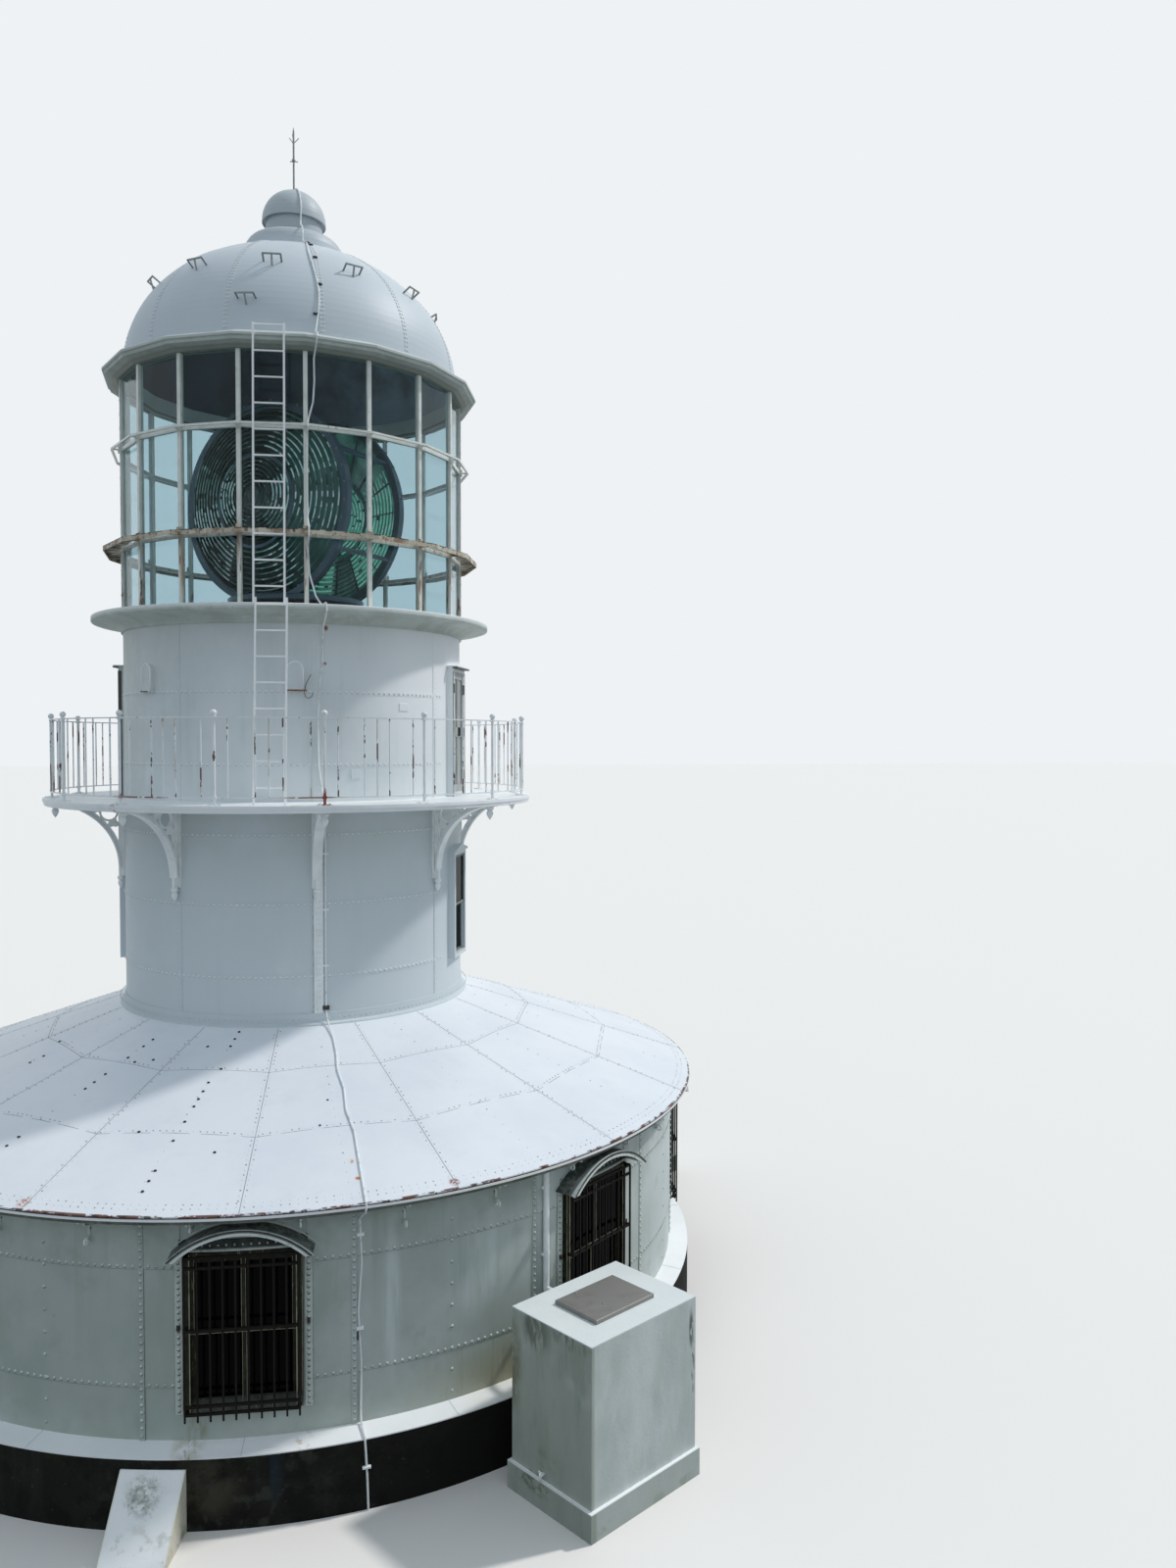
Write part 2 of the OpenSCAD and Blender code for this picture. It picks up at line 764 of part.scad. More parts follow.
// One cast bracket with its ribs, its foot drop and its outer drop
module gallery_bracket() {
    difference() {
        union() {
            rotate([90, 0, -90]) translate([0, 0, -web_t / 2]) linear_extrude(web_t) bracket_web();
            rotate([90, 0, -90]) translate([0, 0, -web_rib / 2]) linear_extrude(web_rib) {
                translate([tower_r - 20, arch_z - leg_drop]) square([48, arch_r + arm_t + leg_drop - seat]);
                translate([tower_r - 20, deck_under_z - 22]) square([arch_x - tower_r + 20, 22 - seat]);
                intersection() {
                    translate([arch_x, arch_z]) difference() {
                        circle(r = arch_r + 26);
                        circle(r = arch_r);
                    }
                    translate([tower_r, arch_z]) square([arch_x - tower_r, arch_r + arm_t]);
                }
            }
            at(0, tower_r + 54, arch_z - leg_drop) drop(pendant_h - 12, pendant_r - 6);
            at(0, arch_x - 78, deck_under_z - arm_t + 14) drop(pendant_h, pendant_r);
        }
        cylinder(r = tower_r + seat, h = 2 * deck_z);
    }
}

// A turned drop that hangs down from its top face
module drop(h, r) {
    turned([[0, 0], [r * 0.75, 0], [r, -h * 0.12], [r, -h * 0.24], [r * 0.6, -h * 0.34],
        [r * 0.9, -h * 0.52], [r * 0.7, -h * 0.72], [r * 0.3, -h * 0.9], [0, -h]]);
}

module gallery_brackets() {
    color("#d5dbd9") for (k = [0:bracket_n - 1])
        rotate([0, 0, bracket_a + k * 360 / bracket_n]) gallery_bracket();
}

// Hatch through a floor where the stair would come up
module hatch(z0, z1) {
    translate([-hatch_w / 2, hatch_y - hatch_l / 2, z0 - eps]) cube([hatch_w, hatch_l, z1 - z0 + 2 * eps]);
}

module gallery_deck() {
    color("#e9ebe9") difference() {
        translate([0, 0, deck_under_z]) cylinder(r = deck_r, h = deck_t);
        hatch(deck_under_z, deck_z);
    }
}

module gallery_rim() {
    color("#e2e5e3") turned([
        [rim_r - rim_t, deck_under_z - rim_h],
        [rim_r - 8, deck_under_z - rim_h],
        [rim_r, deck_under_z - rim_h + 10],
        [rim_r, deck_under_z],
        [rim_r - rim_t, deck_under_z]]);
}

// A square boss on the post, its sides cut to the rail's ends
module post_boss(z) {
    rotate([0, 0, -90 - boss_a / 2]) rotate_extrude(angle = boss_a)
        translate([rail_r - boss_w / 2, z - 10]) square([boss_w, rail_t + 20]);
}

module railing_posts() {
    color("#dfe1dd") for (k = [0:post_n - 1]) rotate([0, 0, bracket_a + bay_span * k]) {
        at(0, rail_r, deck_z + seat_gap) cylinder(d = post_d, h = post_ball_z - deck_z);
        post_boss(rail_z);
        post_boss(low_rail_z);
        at(0, rail_r, post_ball_z) sphere(d = 74);
        at(0, rail_r, deck_z + seat_gap) cylinder(d = 90, h = 10);
        at(0, rail_r, deck_z + seat_gap) translate([-85, -9, 0]) cube([170, 18, 10]);
        at(0, rail_r, deck_z + seat_gap) translate([-9, -85, 0]) cube([18, 170, 10]);
    }
}

module railing_rails() {
    color("#dfe1dd") for (k = [0:post_n - 1]) for (z = [rail_z, low_rail_z])
        rotate([0, 0, bracket_a + bay_span * k - 90 + boss_a / 2])
            rotate_extrude(angle = bay_span - boss_a, $fn = long_fn)
                translate([rail_r - rail_w / 2, z]) square([rail_w, rail_t]);
}

module railing_balusters() {
    color("#d9dbd7") for (k = [0:post_n - 1]) for (s = [1, 3, 4, 5, 7])
        at(bracket_a + bay_span * (k + s / 8), rail_r, low_rail_z + rail_t)
            cylinder(d = baluster_d, h = rail_z - low_rail_z - rail_t);
}

module watch_wall() {
    color("#d3dbd9") difference() {
        ring(watch_in, watch_r, deck_z, watch_top_z);
        for (a = side_a) rotate([0, 0, a])
            block_y(door_w + 2 * fit, watch_in - 100, watch_r + 100, deck_z - eps, deck_z + door_h + fit);
    }
}

// The riveted surround of a gallery door, with a flat hood over its head
module gallery_door_frames() {
    top = deck_z + door_h;
    color("#dde1de") for (a = side_a) rotate([0, 0, a]) {
        frame_y(door_w, door_h - seat, deck_z + seat, door_bar, door_front, 150);
        difference() {
            block_y(door_w + 60, watch_in, door_front + 60, top + seat, top + 18);
            cylinder(r = watch_r + seat, h = 2 * top);
        }
    }
}

// Two iron leaves with sunk panels and strap hinges
module gallery_doors() {
    gap = 3;
    clear = door_w - 2 * door_bar;
    leaf_w = (clear - gap) / 2;
    z0 = deck_z + seat + door_bar;
    leaf_h = door_h - seat - 2 * door_bar;
    front = door_front - 16;
    color("#8d9492") for (a = side_a) for (side = [-1, 1])
        rotate([0, 0, a]) translate([side * (leaf_w + gap) / 2, 0, 0]) {
            difference() {
                block_y(leaf_w, front - 40, front, z0, z0 + leaf_h);
                for (p = [[0.06, 0.40], [0.54, 0.40]])
                    block_y(leaf_w - 90, front - 14, front + eps,
                        z0 + leaf_h * p[0], z0 + leaf_h * (p[0] + p[1]));
            }
            for (s = [0.14, 0.5, 0.86])
                translate([side * (leaf_w / 2 - 14), 0, 0])
                    block_y(28, front, front + 14, z0 + leaf_h * s - 55, z0 + leaf_h * s + 55);
        }
}

// A small arched hood over an air hole, with a drip ledge under it
module wall_vents() {
    vent_out = 52;
    drip_out = 74;
    drip_t = 14;
    color("#dde3e1") for (a = vent_a) rotate([0, 0, a]) difference() {
        union() {
            rotate([90, 0, 0]) translate([0, 0, watch_r - 60]) linear_extrude(60 + vent_out) polygon(concat(
                [[-vent_w / 2, vent_z], [vent_w / 2, vent_z]],
                [for (t = [0:15:180]) [vent_w / 2 * cos(t), vent_z + vent_h - vent_w / 2 * (1 - sin(t))]]));
            block_y(vent_w + 60, watch_r - 60, watch_r + drip_out, vent_z - drip_t, vent_z);
        }
        cylinder(r = watch_r + seat, h = 2 * vent_z);
    }
}

// The moulded ring round the top of the watch room
module cornice() {
    lip_z = watch_top_z + 66;
    cove_r = cornice_r - 40 - watch_r;
    color("#e0e4e2") turned(concat(
        [[watch_r, watch_top_z - 60], [watch_r + 26, watch_top_z - 60]],
        [for (i = [0:5]) let (t = i * 15) [watch_r + 26 + (cove_r - 26) * (1 - cos(t)), watch_top_z - 52
            + (lip_z - watch_top_z + 52) * sin(t)]],
        [[cornice_r - 30, lip_z], [cornice_r - 6, lip_z + 8], [cornice_r, lip_z + 20],
            [cornice_r, cornice_z - 8], [cornice_r - 8, cornice_z], [watch_r, cornice_z]]));
}

module lantern_floor() {
    color("#5b605e") difference() {
        translate([0, 0, watch_top_z]) cylinder(r = watch_r, h = floor_t);
        hatch(watch_top_z, lantern_floor_z);
    }
}

// The curb that the glazing bars stand on
module lantern_sill() {
    color("#e0e4e2") {
        ring(mullion_in_r * cos(corner_half) - 40, watch_r - seat, lantern_floor_z, cornice_z);
        lantern_band(mullion_in_r - 30, glazing_r + 6, cornice_z, sill_z);
    }
}

// Repeat a piece at each corner of the lantern
module each_corner() {
    for (k = [0:side_n - 1]) rotate([0, 0, side_phase + 2 * corner_half * k]) children();
}

module lantern_mullions() {
    color("#d9dcd7") each_corner() {
        block_y(mullion_w, pane_r - 12, glazing_r, sill_z, glass_top_z - seat_gap);
        block_y(mullion_w * 0.5, mullion_in_r, pane_r - 12, sill_z, glass_top_z - seat_gap);
    }
}

// The space that the glazing bars take
module mullion_space() {
    each_corner() block_y(mullion_w, mullion_in_r - 60, glazing_r + 60, sill_z - eps, glass_top_z + eps);
}

module lantern_transoms() {
    color("#d9dcd7") difference() {
        union() {
            lantern_band(pane_r - 30, glazing_r - 8, tier1_z - transom_h / 2, tier1_z + transom_h / 2);
            lantern_band(pane_r - 30, glazing_r - 8, tier2_z - transom_h / 2, tier2_z + transom_h / 2);
        }
        mullion_space();
    }
}

module lantern_glass() {
    tiers = [[sill_z, tier1_z - transom_h / 2], [tier1_z + transom_h / 2, tier2_z - transom_h / 2],
        [tier2_z + transom_h / 2, glass_top_z]];
    color("#9fc4c4") difference() {
        for (t = tiers) lantern_band(pane_r - glass_t, pane_r, t[0], t[1]);
        mullion_space();
    }
}

// Narrow walkway with an upright rim, on small stays from the glazing bars
module catwalk() {
    rim = 60;
    plate = 10;
    z0 = tier1_z - rim / 2;
    color("#b9a48f") union() {
        lantern_band(glazing_r + 30, catwalk_r, z0 + rim - plate, z0 + rim);
        lantern_band(catwalk_r - 12, catwalk_r, z0, z0 + rim);
        each_corner() block_y(30, glazing_r, catwalk_r - 14, z0 + rim - plate - 26, z0 + rim - plate + 2);
    }
}

module lantern_handrail() {
    bar = 28;
    color("#e6e9e6") union() {
        lantern_band(handrail_r - bar, handrail_r, tier2_z - bar / 2, tier2_z + bar / 2);
        each_corner() block_y(22, glazing_r, handrail_r - 10, tier2_z - 11, tier2_z + 11);
    }
}

module lantern_eave() {
    r = lantern_eave_r;
    soffit = glass_top_z;
    color("#dfe2dd") faceted_ring([
        [mullion_in_r - 30, soffit],
        [glazing_r + 40, soffit],
        [glazing_r + 70, soffit + 34],
        [r - 36, soffit + 60],
        [r - 24, soffit + 92],
        [r, soffit + 104],
        [r, soffit + 132],
        [r - 40, soffit + 160],
        [dome_r + 30, dome_z],
        [mullion_in_r - 30, dome_z]]);
}

// The dome's sheet, open at the top under the ventilator
module dome() {
    color("#e7eaea") turned(concat(
        ellipse_pts(dome_r, dome_rise, dome_z, 0, dome_top_a, dome_steps),
        [for (i = [dome_steps:-1:0]) let (t = dome_top_a * i / dome_steps)
            [(dome_r - dome_t) * cos(t), dome_z + (dome_rise - dome_t) * sin(t)]]));
}

module dome_lining() {
    gap_r = dome_r - dome_t;
    gap_h = dome_rise - dome_t;
    color("#4c5457") turned(concat(
        ellipse_pts(gap_r, gap_h, dome_z, 0, dome_top_a, dome_steps),
        [for (i = [dome_steps:-1:0]) let (t = dome_top_a * i / dome_steps)
            [(gap_r - lining_t) * cos(t), dome_z + (gap_h - lining_t) * sin(t)]]));
}

// Collar, neck with its air slot, and a half ball with a lip, turned in one outline
module ventilator() {
    slot_r = 300;
    neck_r = ball_r - 50;
    top_r = 500;
    foot_z = dome_cap_z;
    collar_z = foot_z + collar_h;
    color("#e4e7e5") turned(concat(
        [[0, foot_z - 20], [collar_r - 130, foot_z - 20], [collar_r - 130, foot_z],
            [collar_r, foot_z], [collar_r + 8, foot_z + 16], [collar_r, foot_z + 40]],
        [for (i = [0:6]) let (t = i * 15)
            [top_r + (collar_r - top_r) * cos(t), foot_z + 60 + (collar_h - 60) * sin(t)]],
        [[slot_r, collar_z], [slot_r, collar_z + 68], [neck_r, collar_z + 68], [neck_r, ball_z - 10],
            [ball_r - 16, ball_z - 10], [ball_r - 14, ball_z - 26], [ball_r, ball_z - 26]],
        [for (i = [0:12]) let (t = i * 7.5) [ball_r * cos(t), ball_z + ball_r * sin(t)]]));
}

// Pointed rod with a cross collar and three raised prongs
module lightning_rod() {
    d = 26;
    foot_z = ball_top_z;
    collar_z = foot_z + 420;
    prong_z = foot_z + 670;
    color("#b9bdbb") union() {
        translate([0, 0, foot_z]) cylinder(r = rod_foot_r, h = 20);
        translate([0, 0, foot_z]) cylinder(d = d, h = rod_top_z - foot_z - 60);
        translate([0, 0, rod_top_z - 60]) cylinder(d1 = d, d2 = 6, h = 60);
        translate([0, 0, collar_z]) cylinder(d = 46, h = 30);
        for (a = [0:120:240]) rotate([0, 0, a + 20]) {
            translate([0, 0, prong_z]) rotate([0, 38, 0]) cylinder(d = 12, h = 120);
            translate([0, 0, collar_z + 15]) rotate([0, 90, 0]) cylinder(d = 14, h = 60);
        }
    }
}

// A hoop of two legs, with a third leg from its middle down the dome, at a height angle of its curve
module handhold(angle, t) {
    r = dome_r * cos(t);
    z = dome_z + dome_rise * sin(t);
    reach = hold_w * 0.4;
    rotate([0, 0, angle]) translate([0, -r, z]) rotate([90 - t, 0, 0]) {
        for (side = [-1, 1]) translate([side * hold_w / 2, 0, 0])
            translate([0, 0, -4]) cylinder(d = hold_d, h = hold_out + 4);
        translate([-hold_w / 2, 0, hold_out]) rotate([0, 90, 0]) cylinder(d = hold_d, h = hold_w);
        for (side = [-1, 1]) translate([side * hold_w / 2, 0, hold_out]) sphere(d = hold_d);
        translate([0, -reach, 0]) rotate([-atan(reach / hold_out), 0, 0])
            translate([0, 0, -4]) cylinder(d = hold_d, h = norm([reach, hold_out]) + 4);
    }
}

module dome_handholds() {
    color("#b9bfbf") difference() {
        union() {
            for (a = holds_upper) handhold(a, hold_t_upper);
            handhold(-15, hold_t_lower);
        }
        turned(concat(ellipse_pts(dome_r, dome_rise, dome_z, 0, dome_top_a, dome_steps),
            [[0, dome_cap_z], [0, dome_z]]));
    }
}

// A leaning ladder: its inner face runs from a foot to a head, both radius and height
module ladder(foot, head, over) {
    run = foot[0] - head[0];
    rise = head[1] - foot[1];
    lean = atan(run / rise);
    length = sqrt(run * run + rise * rise) + over;
    rungs = floor((length - 200) / rung_pitch);
    translate([0, -foot[0], foot[1]]) rotate([-lean, 0, 0]) {
        for (side = [-1, 1])
            translate([side * (ladder_w - stile_w) / 2 - stile_w / 2, -stile_d, 0])
                cube([stile_w, stile_d, length]);
        for (i = [0:rungs])
            translate([-ladder_w / 2 + stile_w / 2, -stile_d / 2, 200 + i * rung_pitch])
                rotate([0, 90, 0]) cylinder(d = rung_d, h = ladder_w - stile_w);
    }
}

module ladders() {
    eave_face = lantern_eave_r * cos(corner_half);
    inner = ladder_w / 2 - stile_w;
    lip_face = sqrt(cornice_r * cornice_r - inner * inner);
    color("#e9ecea") {
        rotate([0, 0, ladder_a])
            ladder([cornice_r - ladder_foot_in, cornice_z], [eave_face, glass_top_z + 132], 110);
        rotate([0, 0, low_ladder_a])
            ladder([cornice_r + ladder_foot_out, deck_z], [lip_face, cornice_z - 8], 60);
    }
}

lift = cable_r + 2;

// Points of the earthing cable as angle, radius and height, laid on each surface
function on_dome(a, t) = [a, (dome_r + lift) * cos(t), dome_z + (dome_rise + lift) * sin(t)];
function on_roof(a, share) = let (r = tower_r + share * (eave_r - tower_r)) [a, r, roof_z(r) + lift + 1];
function on_wall(a, r, z) = [a, r + lift, z];
function on_glass(a, z) = on_wall(a, glazing_r + 6, z);

// Upper route: from the rod down the ball, the dome, the lantern and the watch room
cable_route = concat(
    [[12, rod_foot_r + seat, ball_top_z + 12], [12, rod_foot_r + 30, ball_top_z + 11]],
    [for (t = [74:-7.4:0]) [12, (ball_r + lift) * cos(t), ball_z + (ball_r + lift) * sin(t)]],
    [[11, ball_r + lift, ball_z - 130], [10, ball_r + lift + 60, ball_z - 215],
        [9, collar_r - 20, dome_cap_z + 265],
        [9, collar_r + lift + 26, dome_cap_z + 150], [9, collar_r + lift + 30, dome_cap_z + 40]],
    [for (t = [66:-4:6]) on_dome(8 + 1.2 * sin(6 * t) - (66 - t) * 0.03, t)],
    [[6.1, dome_r + 70, dome_z + 4], [6.0, lantern_eave_r - 8, glass_top_z + 170],
        [5.9, lantern_eave_r + lift, glass_top_z + 125], [5.8, lantern_eave_r - 20, glass_top_z + 60],
        [5.7, glazing_r + 88, glass_top_z - 10]],
    [on_glass(5.5, glass_top_z - 90), on_glass(5.6, glass_top_z - 350), on_glass(5.2, tier2_z + 300),
        [3.8, glazing_r + 40, tier2_z + 90], [3.4, handrail_r + lift, tier2_z + 20],
        [3.4, handrail_r + lift, tier2_z - 20], [3.4, glazing_r + 40, tier2_z - 90],
        on_glass(3.3, tier2_z - 500), on_glass(3.4, tier1_z + 200), [3.4, catwalk_r + lift, tier1_z + 45],
        [3.4, catwalk_r + lift, tier1_z - 45], on_glass(3.4, tier1_z - 160), on_glass(3.8, tier1_z - 480),
        on_glass(5.7, sill_z + 90), [7.1, glazing_r + 110, cornice_z + lift],
        [7.3, cornice_r - 12, cornice_z + lift + 2], [7.3, cornice_r + lift - 4, cornice_z + lift - 4],
        [7.4, cornice_r + lift + 1, cornice_z - 12], [7.5, cornice_r + lift, watch_top_z + 62],
        [7.6, cornice_r - 40, watch_top_z + 40], [7.7, watch_r + 90, watch_top_z - 90]],
    [for (p = [[7.6, 0.12], [7.6, 0.25], [6.7, 0.37], [6.2, 0.58], [6.3, 0.80], [7.4, 0.94]])
        on_wall(p[0], watch_r, watch_top_z - p[1] * watch_h)],
    [for (z = [deck_z + 60, deck_z + seat]) on_wall(7.8, watch_r, z)]);

// Lower route: from under the gallery down the tower, the roof and the house to the ground
cable_low = concat(
    [for (z = [deck_under_z - seat, roof_top_z + 150]) on_wall(8.1, tower_r, z)],
    [[8.2, tower_r + 44, roof_top_z + 80], [8.4, tower_r + 120, roof_z(tower_r + 120) + lift + 22]],
    [for (p = [[8.6, 0.12], [8.2, 0.21], [7.4, 0.32], [7.6, 0.43], [7.0, 0.55], [7.3, 0.67], [6.9, 0.81],
        [6.6, 0.95]]) on_roof(p[0], p[1])],
    [[6.5, eave_r + lift, eave_z + lift - 2], [6.5, eave_r + lift + 3, eave_z - 15],
        [6.5, eave_r + lift + 1, eave_z - roof_t - 4], [6.5, eave_ring_r + lift + 1, eave_ring_z + 4],
        [6.5, eave_ring_r + 10, eave_ring_z - 10],
        [6.5, eave_ring_r - 4, eave_ring_z - lift - 1], [6.4, house_r + 150, eave_ring_z - 70]],
    [for (p = [[6.3, 0.93], [6.5, 0.73], [6.1, 0.51], [6.4, 0.28], [6.3, 0.06]])
        on_wall(p[0], house_r, ledge_top_z + p[1] * (eave_ring_z - ledge_top_z))],
    [[6.3, house_r + 30, ledge_top_z + 24], [6.3, base_r + 2, base_h + ledge_lip + lift + 4],
        [6.3, base_r + lift, base_h], [6.5, base_r + lift, base_h / 2], [6.6, base_r + lift, 12]]);

function cable_point(p) = [p[1] * sin(p[0]), -p[1] * cos(p[0]), p[2]];
function unit(v) = v / norm(v);

// A tube of eight sides along a route of points
module cable(route) {
    pts = [for (p = route) cable_point(p)];
    n = len(pts);
    sides = 8;
    dirs = [for (i = [0:n - 1]) unit(pts[min(i + 1, n - 1)] - pts[max(i - 1, 0)])];
    rings = [for (i = [0:n - 1]) let (d = dirs[i], a = route[i][0],
        u = unit(cross(d, [cos(a), sin(a), 0])), w = unit(cross(d, u)))
        for (k = [0:sides - 1]) pts[i] + cable_r * (cos(360 * k / sides) * u + sin(360 * k / sides) * w)];
    faces = concat(
        [[for (k = [0:sides - 1]) k]],
        [for (i = [0:n - 2]) for (k = [0:sides - 1])
            let (a = i * sides + k, b = i * sides + (k + 1) % sides) [a, a + sides, b + sides, b]],
        [[for (k = [sides - 1:-1:0]) (n - 1) * sides + k]]);
    polyhedron(points = rings, faces = faces);
}

module conductor() {
    color("#e3e5e2") {
        cable(cable_route);
        cable(cable_low);
    }
}

// Rainwater pipe from the eave to a tank's back, strapped to the house wall
module rain_pipe() {
    turn_z = tank_h - 280;
    strap_w = 110;
    strap_t = 30;
    at(0, pipe_r, turn_z) cylinder(d = pipe_d, h = soffit_z(pipe_r + pipe_d / 2) - 2 - turn_z);
    at(0, pipe_r, turn_z) sphere(d = pipe_d);
    at(0, pipe_r, turn_z) rotate([90, 0, 0]) cylinder(d = pipe_d, h = tank_back - pipe_r);
    difference() {
        for (z = [tank_h + 100, eave_z - 360]) block_y(strap_w, house_r - 30, pipe_r, z, z + strap_t);
        cylinder(r = house_r, h = eave_z);
    }
}

module downpipes() {
    color("#d8dcda") for (a = tank_a) rotate([0, 0, a - 0.6]) rain_pipe();
}

// A rendered water tank with a plinth, a sheet lid and a tap
module water_tank() {
    mid = tank_back + tank_d / 2;
    tap_y = tank_back + tank_d * 0.42;
    translate([tank_shift, 0, 0]) {
        block_y(tank_w + 2 * tank_gap, tank_in_r, tank_back + tank_d + tank_gap, 0, tank_foot_h);
        block_y(tank_w, tank_back, tank_back + tank_d, tank_foot_h, tank_h);
        translate([40, 20, 0]) block_y(lid_w, mid - lid_d / 2, mid + lid_d / 2, tank_h, tank_h + lid_t);
        translate([-tank_w / 2 - 60, -tap_y, tank_foot_h + 75]) rotate([0, 90, 0])
            cylinder(d = 30, h = 62);
        translate([-tank_w / 2 - 52, -tap_y, tank_foot_h + 35]) cylinder(d = 26, h = 62);
    }
}

module water_tanks() {
    color("#dfe4e1") for (a = tank_a) rotate([0, 0, a]) water_tank();
}

// The wedge of masonry that leans on the base beside the front window
module sloping_block() {
    color("#e6e9e7") rotate([0, 0, block_a]) difference() {
        rotate([90, 0, -90]) translate([0, 0, -block_w / 2]) linear_extrude(block_w)
            polygon([[base_r - 100, 0], [base_r + block_out, 0], [base_r + 8, block_h],
                [base_r - 100, block_h]]);
        translate([0, 0, -eps]) cylinder(r = base_r + seat, h = base_h, $fn = long_fn);
    }
}

// The fixed iron stand with the trough that the turntable floats over
module lens_pedestal() {
    z0 = lantern_floor_z;
    color("#2d3a36") turned([
        [0, z0], [520, z0], [520, z0 + 30], [470, z0 + 45], [330, z0 + 60], [300, z0 + 120],
        [300, pedestal_top - 128], [360, pedestal_top - 110], [760, pedestal_top - 100],
        [760, pedestal_top - 20], [740, pedestal_top], [0, pedestal_top]]);
}

module lens_table() {
    hub_r = 200;
    z1 = table_z - table_t;
    color("#26302d") turned([
        [0, pedestal_top + thrust_gap], [hub_r, pedestal_top + thrust_gap], [hub_r, z1],
        [table_r - 20, z1], [table_r, z1 + 15], [table_r, table_z - 15], [table_r - 20, table_z],
        [0, table_z]]);
}

// Stand a piece that is turned about Z up so that its top faces a valve's way
module face_valve(side) {
    rotate([0, 0, lens_a + (side > 0 ? 0 : 180)]) translate([0, 0, lens_z]) rotate([90, 0, 0]) children();
}

// Height of a valve's glass above its rim at a radius
function valve_h(r) = valve_off + valve_bulge * (1 - pow(r / glass_in, 2));

// Height of the back of the outer zone's glass, a straight cone
function back_h(r) = valve_h(zone_in) - prism_t
    - (valve_h(zone_in) - valve_h(glass_in)) * (r - zone_in) / (glass_in - zone_in);

// What stands above the turntable
module above_table() {
    translate([-2 * valve_r, -2 * valve_r, table_z]) cube([4 * valve_r, 4 * valve_r, 3 * valve_r]);
}

// Two rims with their inner rings and radial bars
module lens_frame() {
    spoke_w = 16;
    color("#1f2a27") intersection() {
        for (side = [-1, 1]) face_valve(side) {
            ring(glass_in, valve_r, valve_off - valve_depth, valve_off + 20);
            turned([[inner_r, back_h(inner_r) - spoke_t], [zone_in, back_h(zone_in) - spoke_t],
                [zone_in, valve_h(zone_in) + 12], [inner_r, valve_h(inner_r) + 12]]);
            for (k = [0:spoke_n - 1]) rotate([90, 0, k * 360 / spoke_n])
                translate([0, 0, -spoke_w / 2]) linear_extrude(spoke_w) polygon([
                    [zone_in - 4, back_h(zone_in - 4) - spoke_t],
                    [glass_in + 4, back_h(glass_in + 4) - spoke_t],
                    [glass_in + 4, back_h(glass_in + 4) - seat_gap],
                    [zone_in - 4, back_h(zone_in - 4) - seat_gap]]);
        }
        above_table();
    }
}

// Square ties that hold the two rims apart
module lens_ties() {
    bar = 50;
    reach = valve_off - valve_depth - seat;
    color("#1f2a27") intersection() {
        rotate([0, 0, lens_a]) for (a = [30:60:330])
            translate([0, reach, lens_z]) rotate([90, 0, 0]) rotate([0, 0, a])
                translate([valve_r - 60, -bar / 2, 0]) cube([bar, bar, 2 * reach]);
        above_table();
    }
}

// Saw-tooth outline of one zone of ring prisms between two radii
function zone_teeth(r0, r1, n) = [for (i = [0:n - 1]) for (s = [0, 1])
    let (p = (r1 - r0) / n, r = r0 + p * (i + s))
        [r - s * p * 0.2, valve_h(r) + (s == 0 ? 1 : -1) * tooth_h]];

// One valve's glass: a ring of prisms round a bull's eye
module valve_prisms() {
    eye_r = 150;
    turned(concat(
        zone_teeth(zone_in, glass_in, ring_n_outer),
        [[glass_in, valve_h(glass_in) - tooth_h], [glass_in, back_h(glass_in)],
            [zone_in, back_h(zone_in)]]));
    turned(concat(
        [[0, valve_h(0) + tooth_h]],
        zone_teeth(eye_r, inner_r, ring_n_inner),
        [[inner_r, valve_h(inner_r) - tooth_h], [inner_r, valve_h(inner_r) - prism_t],
            [0, valve_h(0) - prism_t]]));
}

module lens_prisms() {
    color("#3f8a78") intersection() {
        for (side = [-1, 1]) face_valve(side) valve_prisms();
        above_table();
    }
}

base();
ledge();
house_wall_front();
house_wall_right();
house_wall_back();
house_wall_left();
house_window_frames();
house_sashes();
house_glass();
window_grilles();
window_hoods();
house_door();
house_steps();
eave_ring();
eave_brackets();
cone_roof();
roof_curb();
tower_wall();
tower_window_frames();
tower_sashes();
tower_glass();
gallery_brackets();
gallery_deck();
gallery_rim();
railing_posts();
railing_rails();
railing_balusters();
watch_wall();
gallery_door_frames();
gallery_doors();
wall_vents();
cornice();
lantern_floor();
lantern_sill();
lantern_mullions();
lantern_transoms();
lantern_glass();
catwalk();
lantern_handrail();
lantern_eave();
dome();
dome_lining();
ventilator();
lightning_rod();
dome_handholds();
ladders();
conductor();
downpipes();
water_tanks();
sloping_block();
lens_pedestal();
lens_table();
lens_frame();
lens_ties();
lens_prisms();
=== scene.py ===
import random
from math import acos, asin, cos, degrees, hypot, pi, radians, sin

import bpy
from mathutils import Matrix, Vector


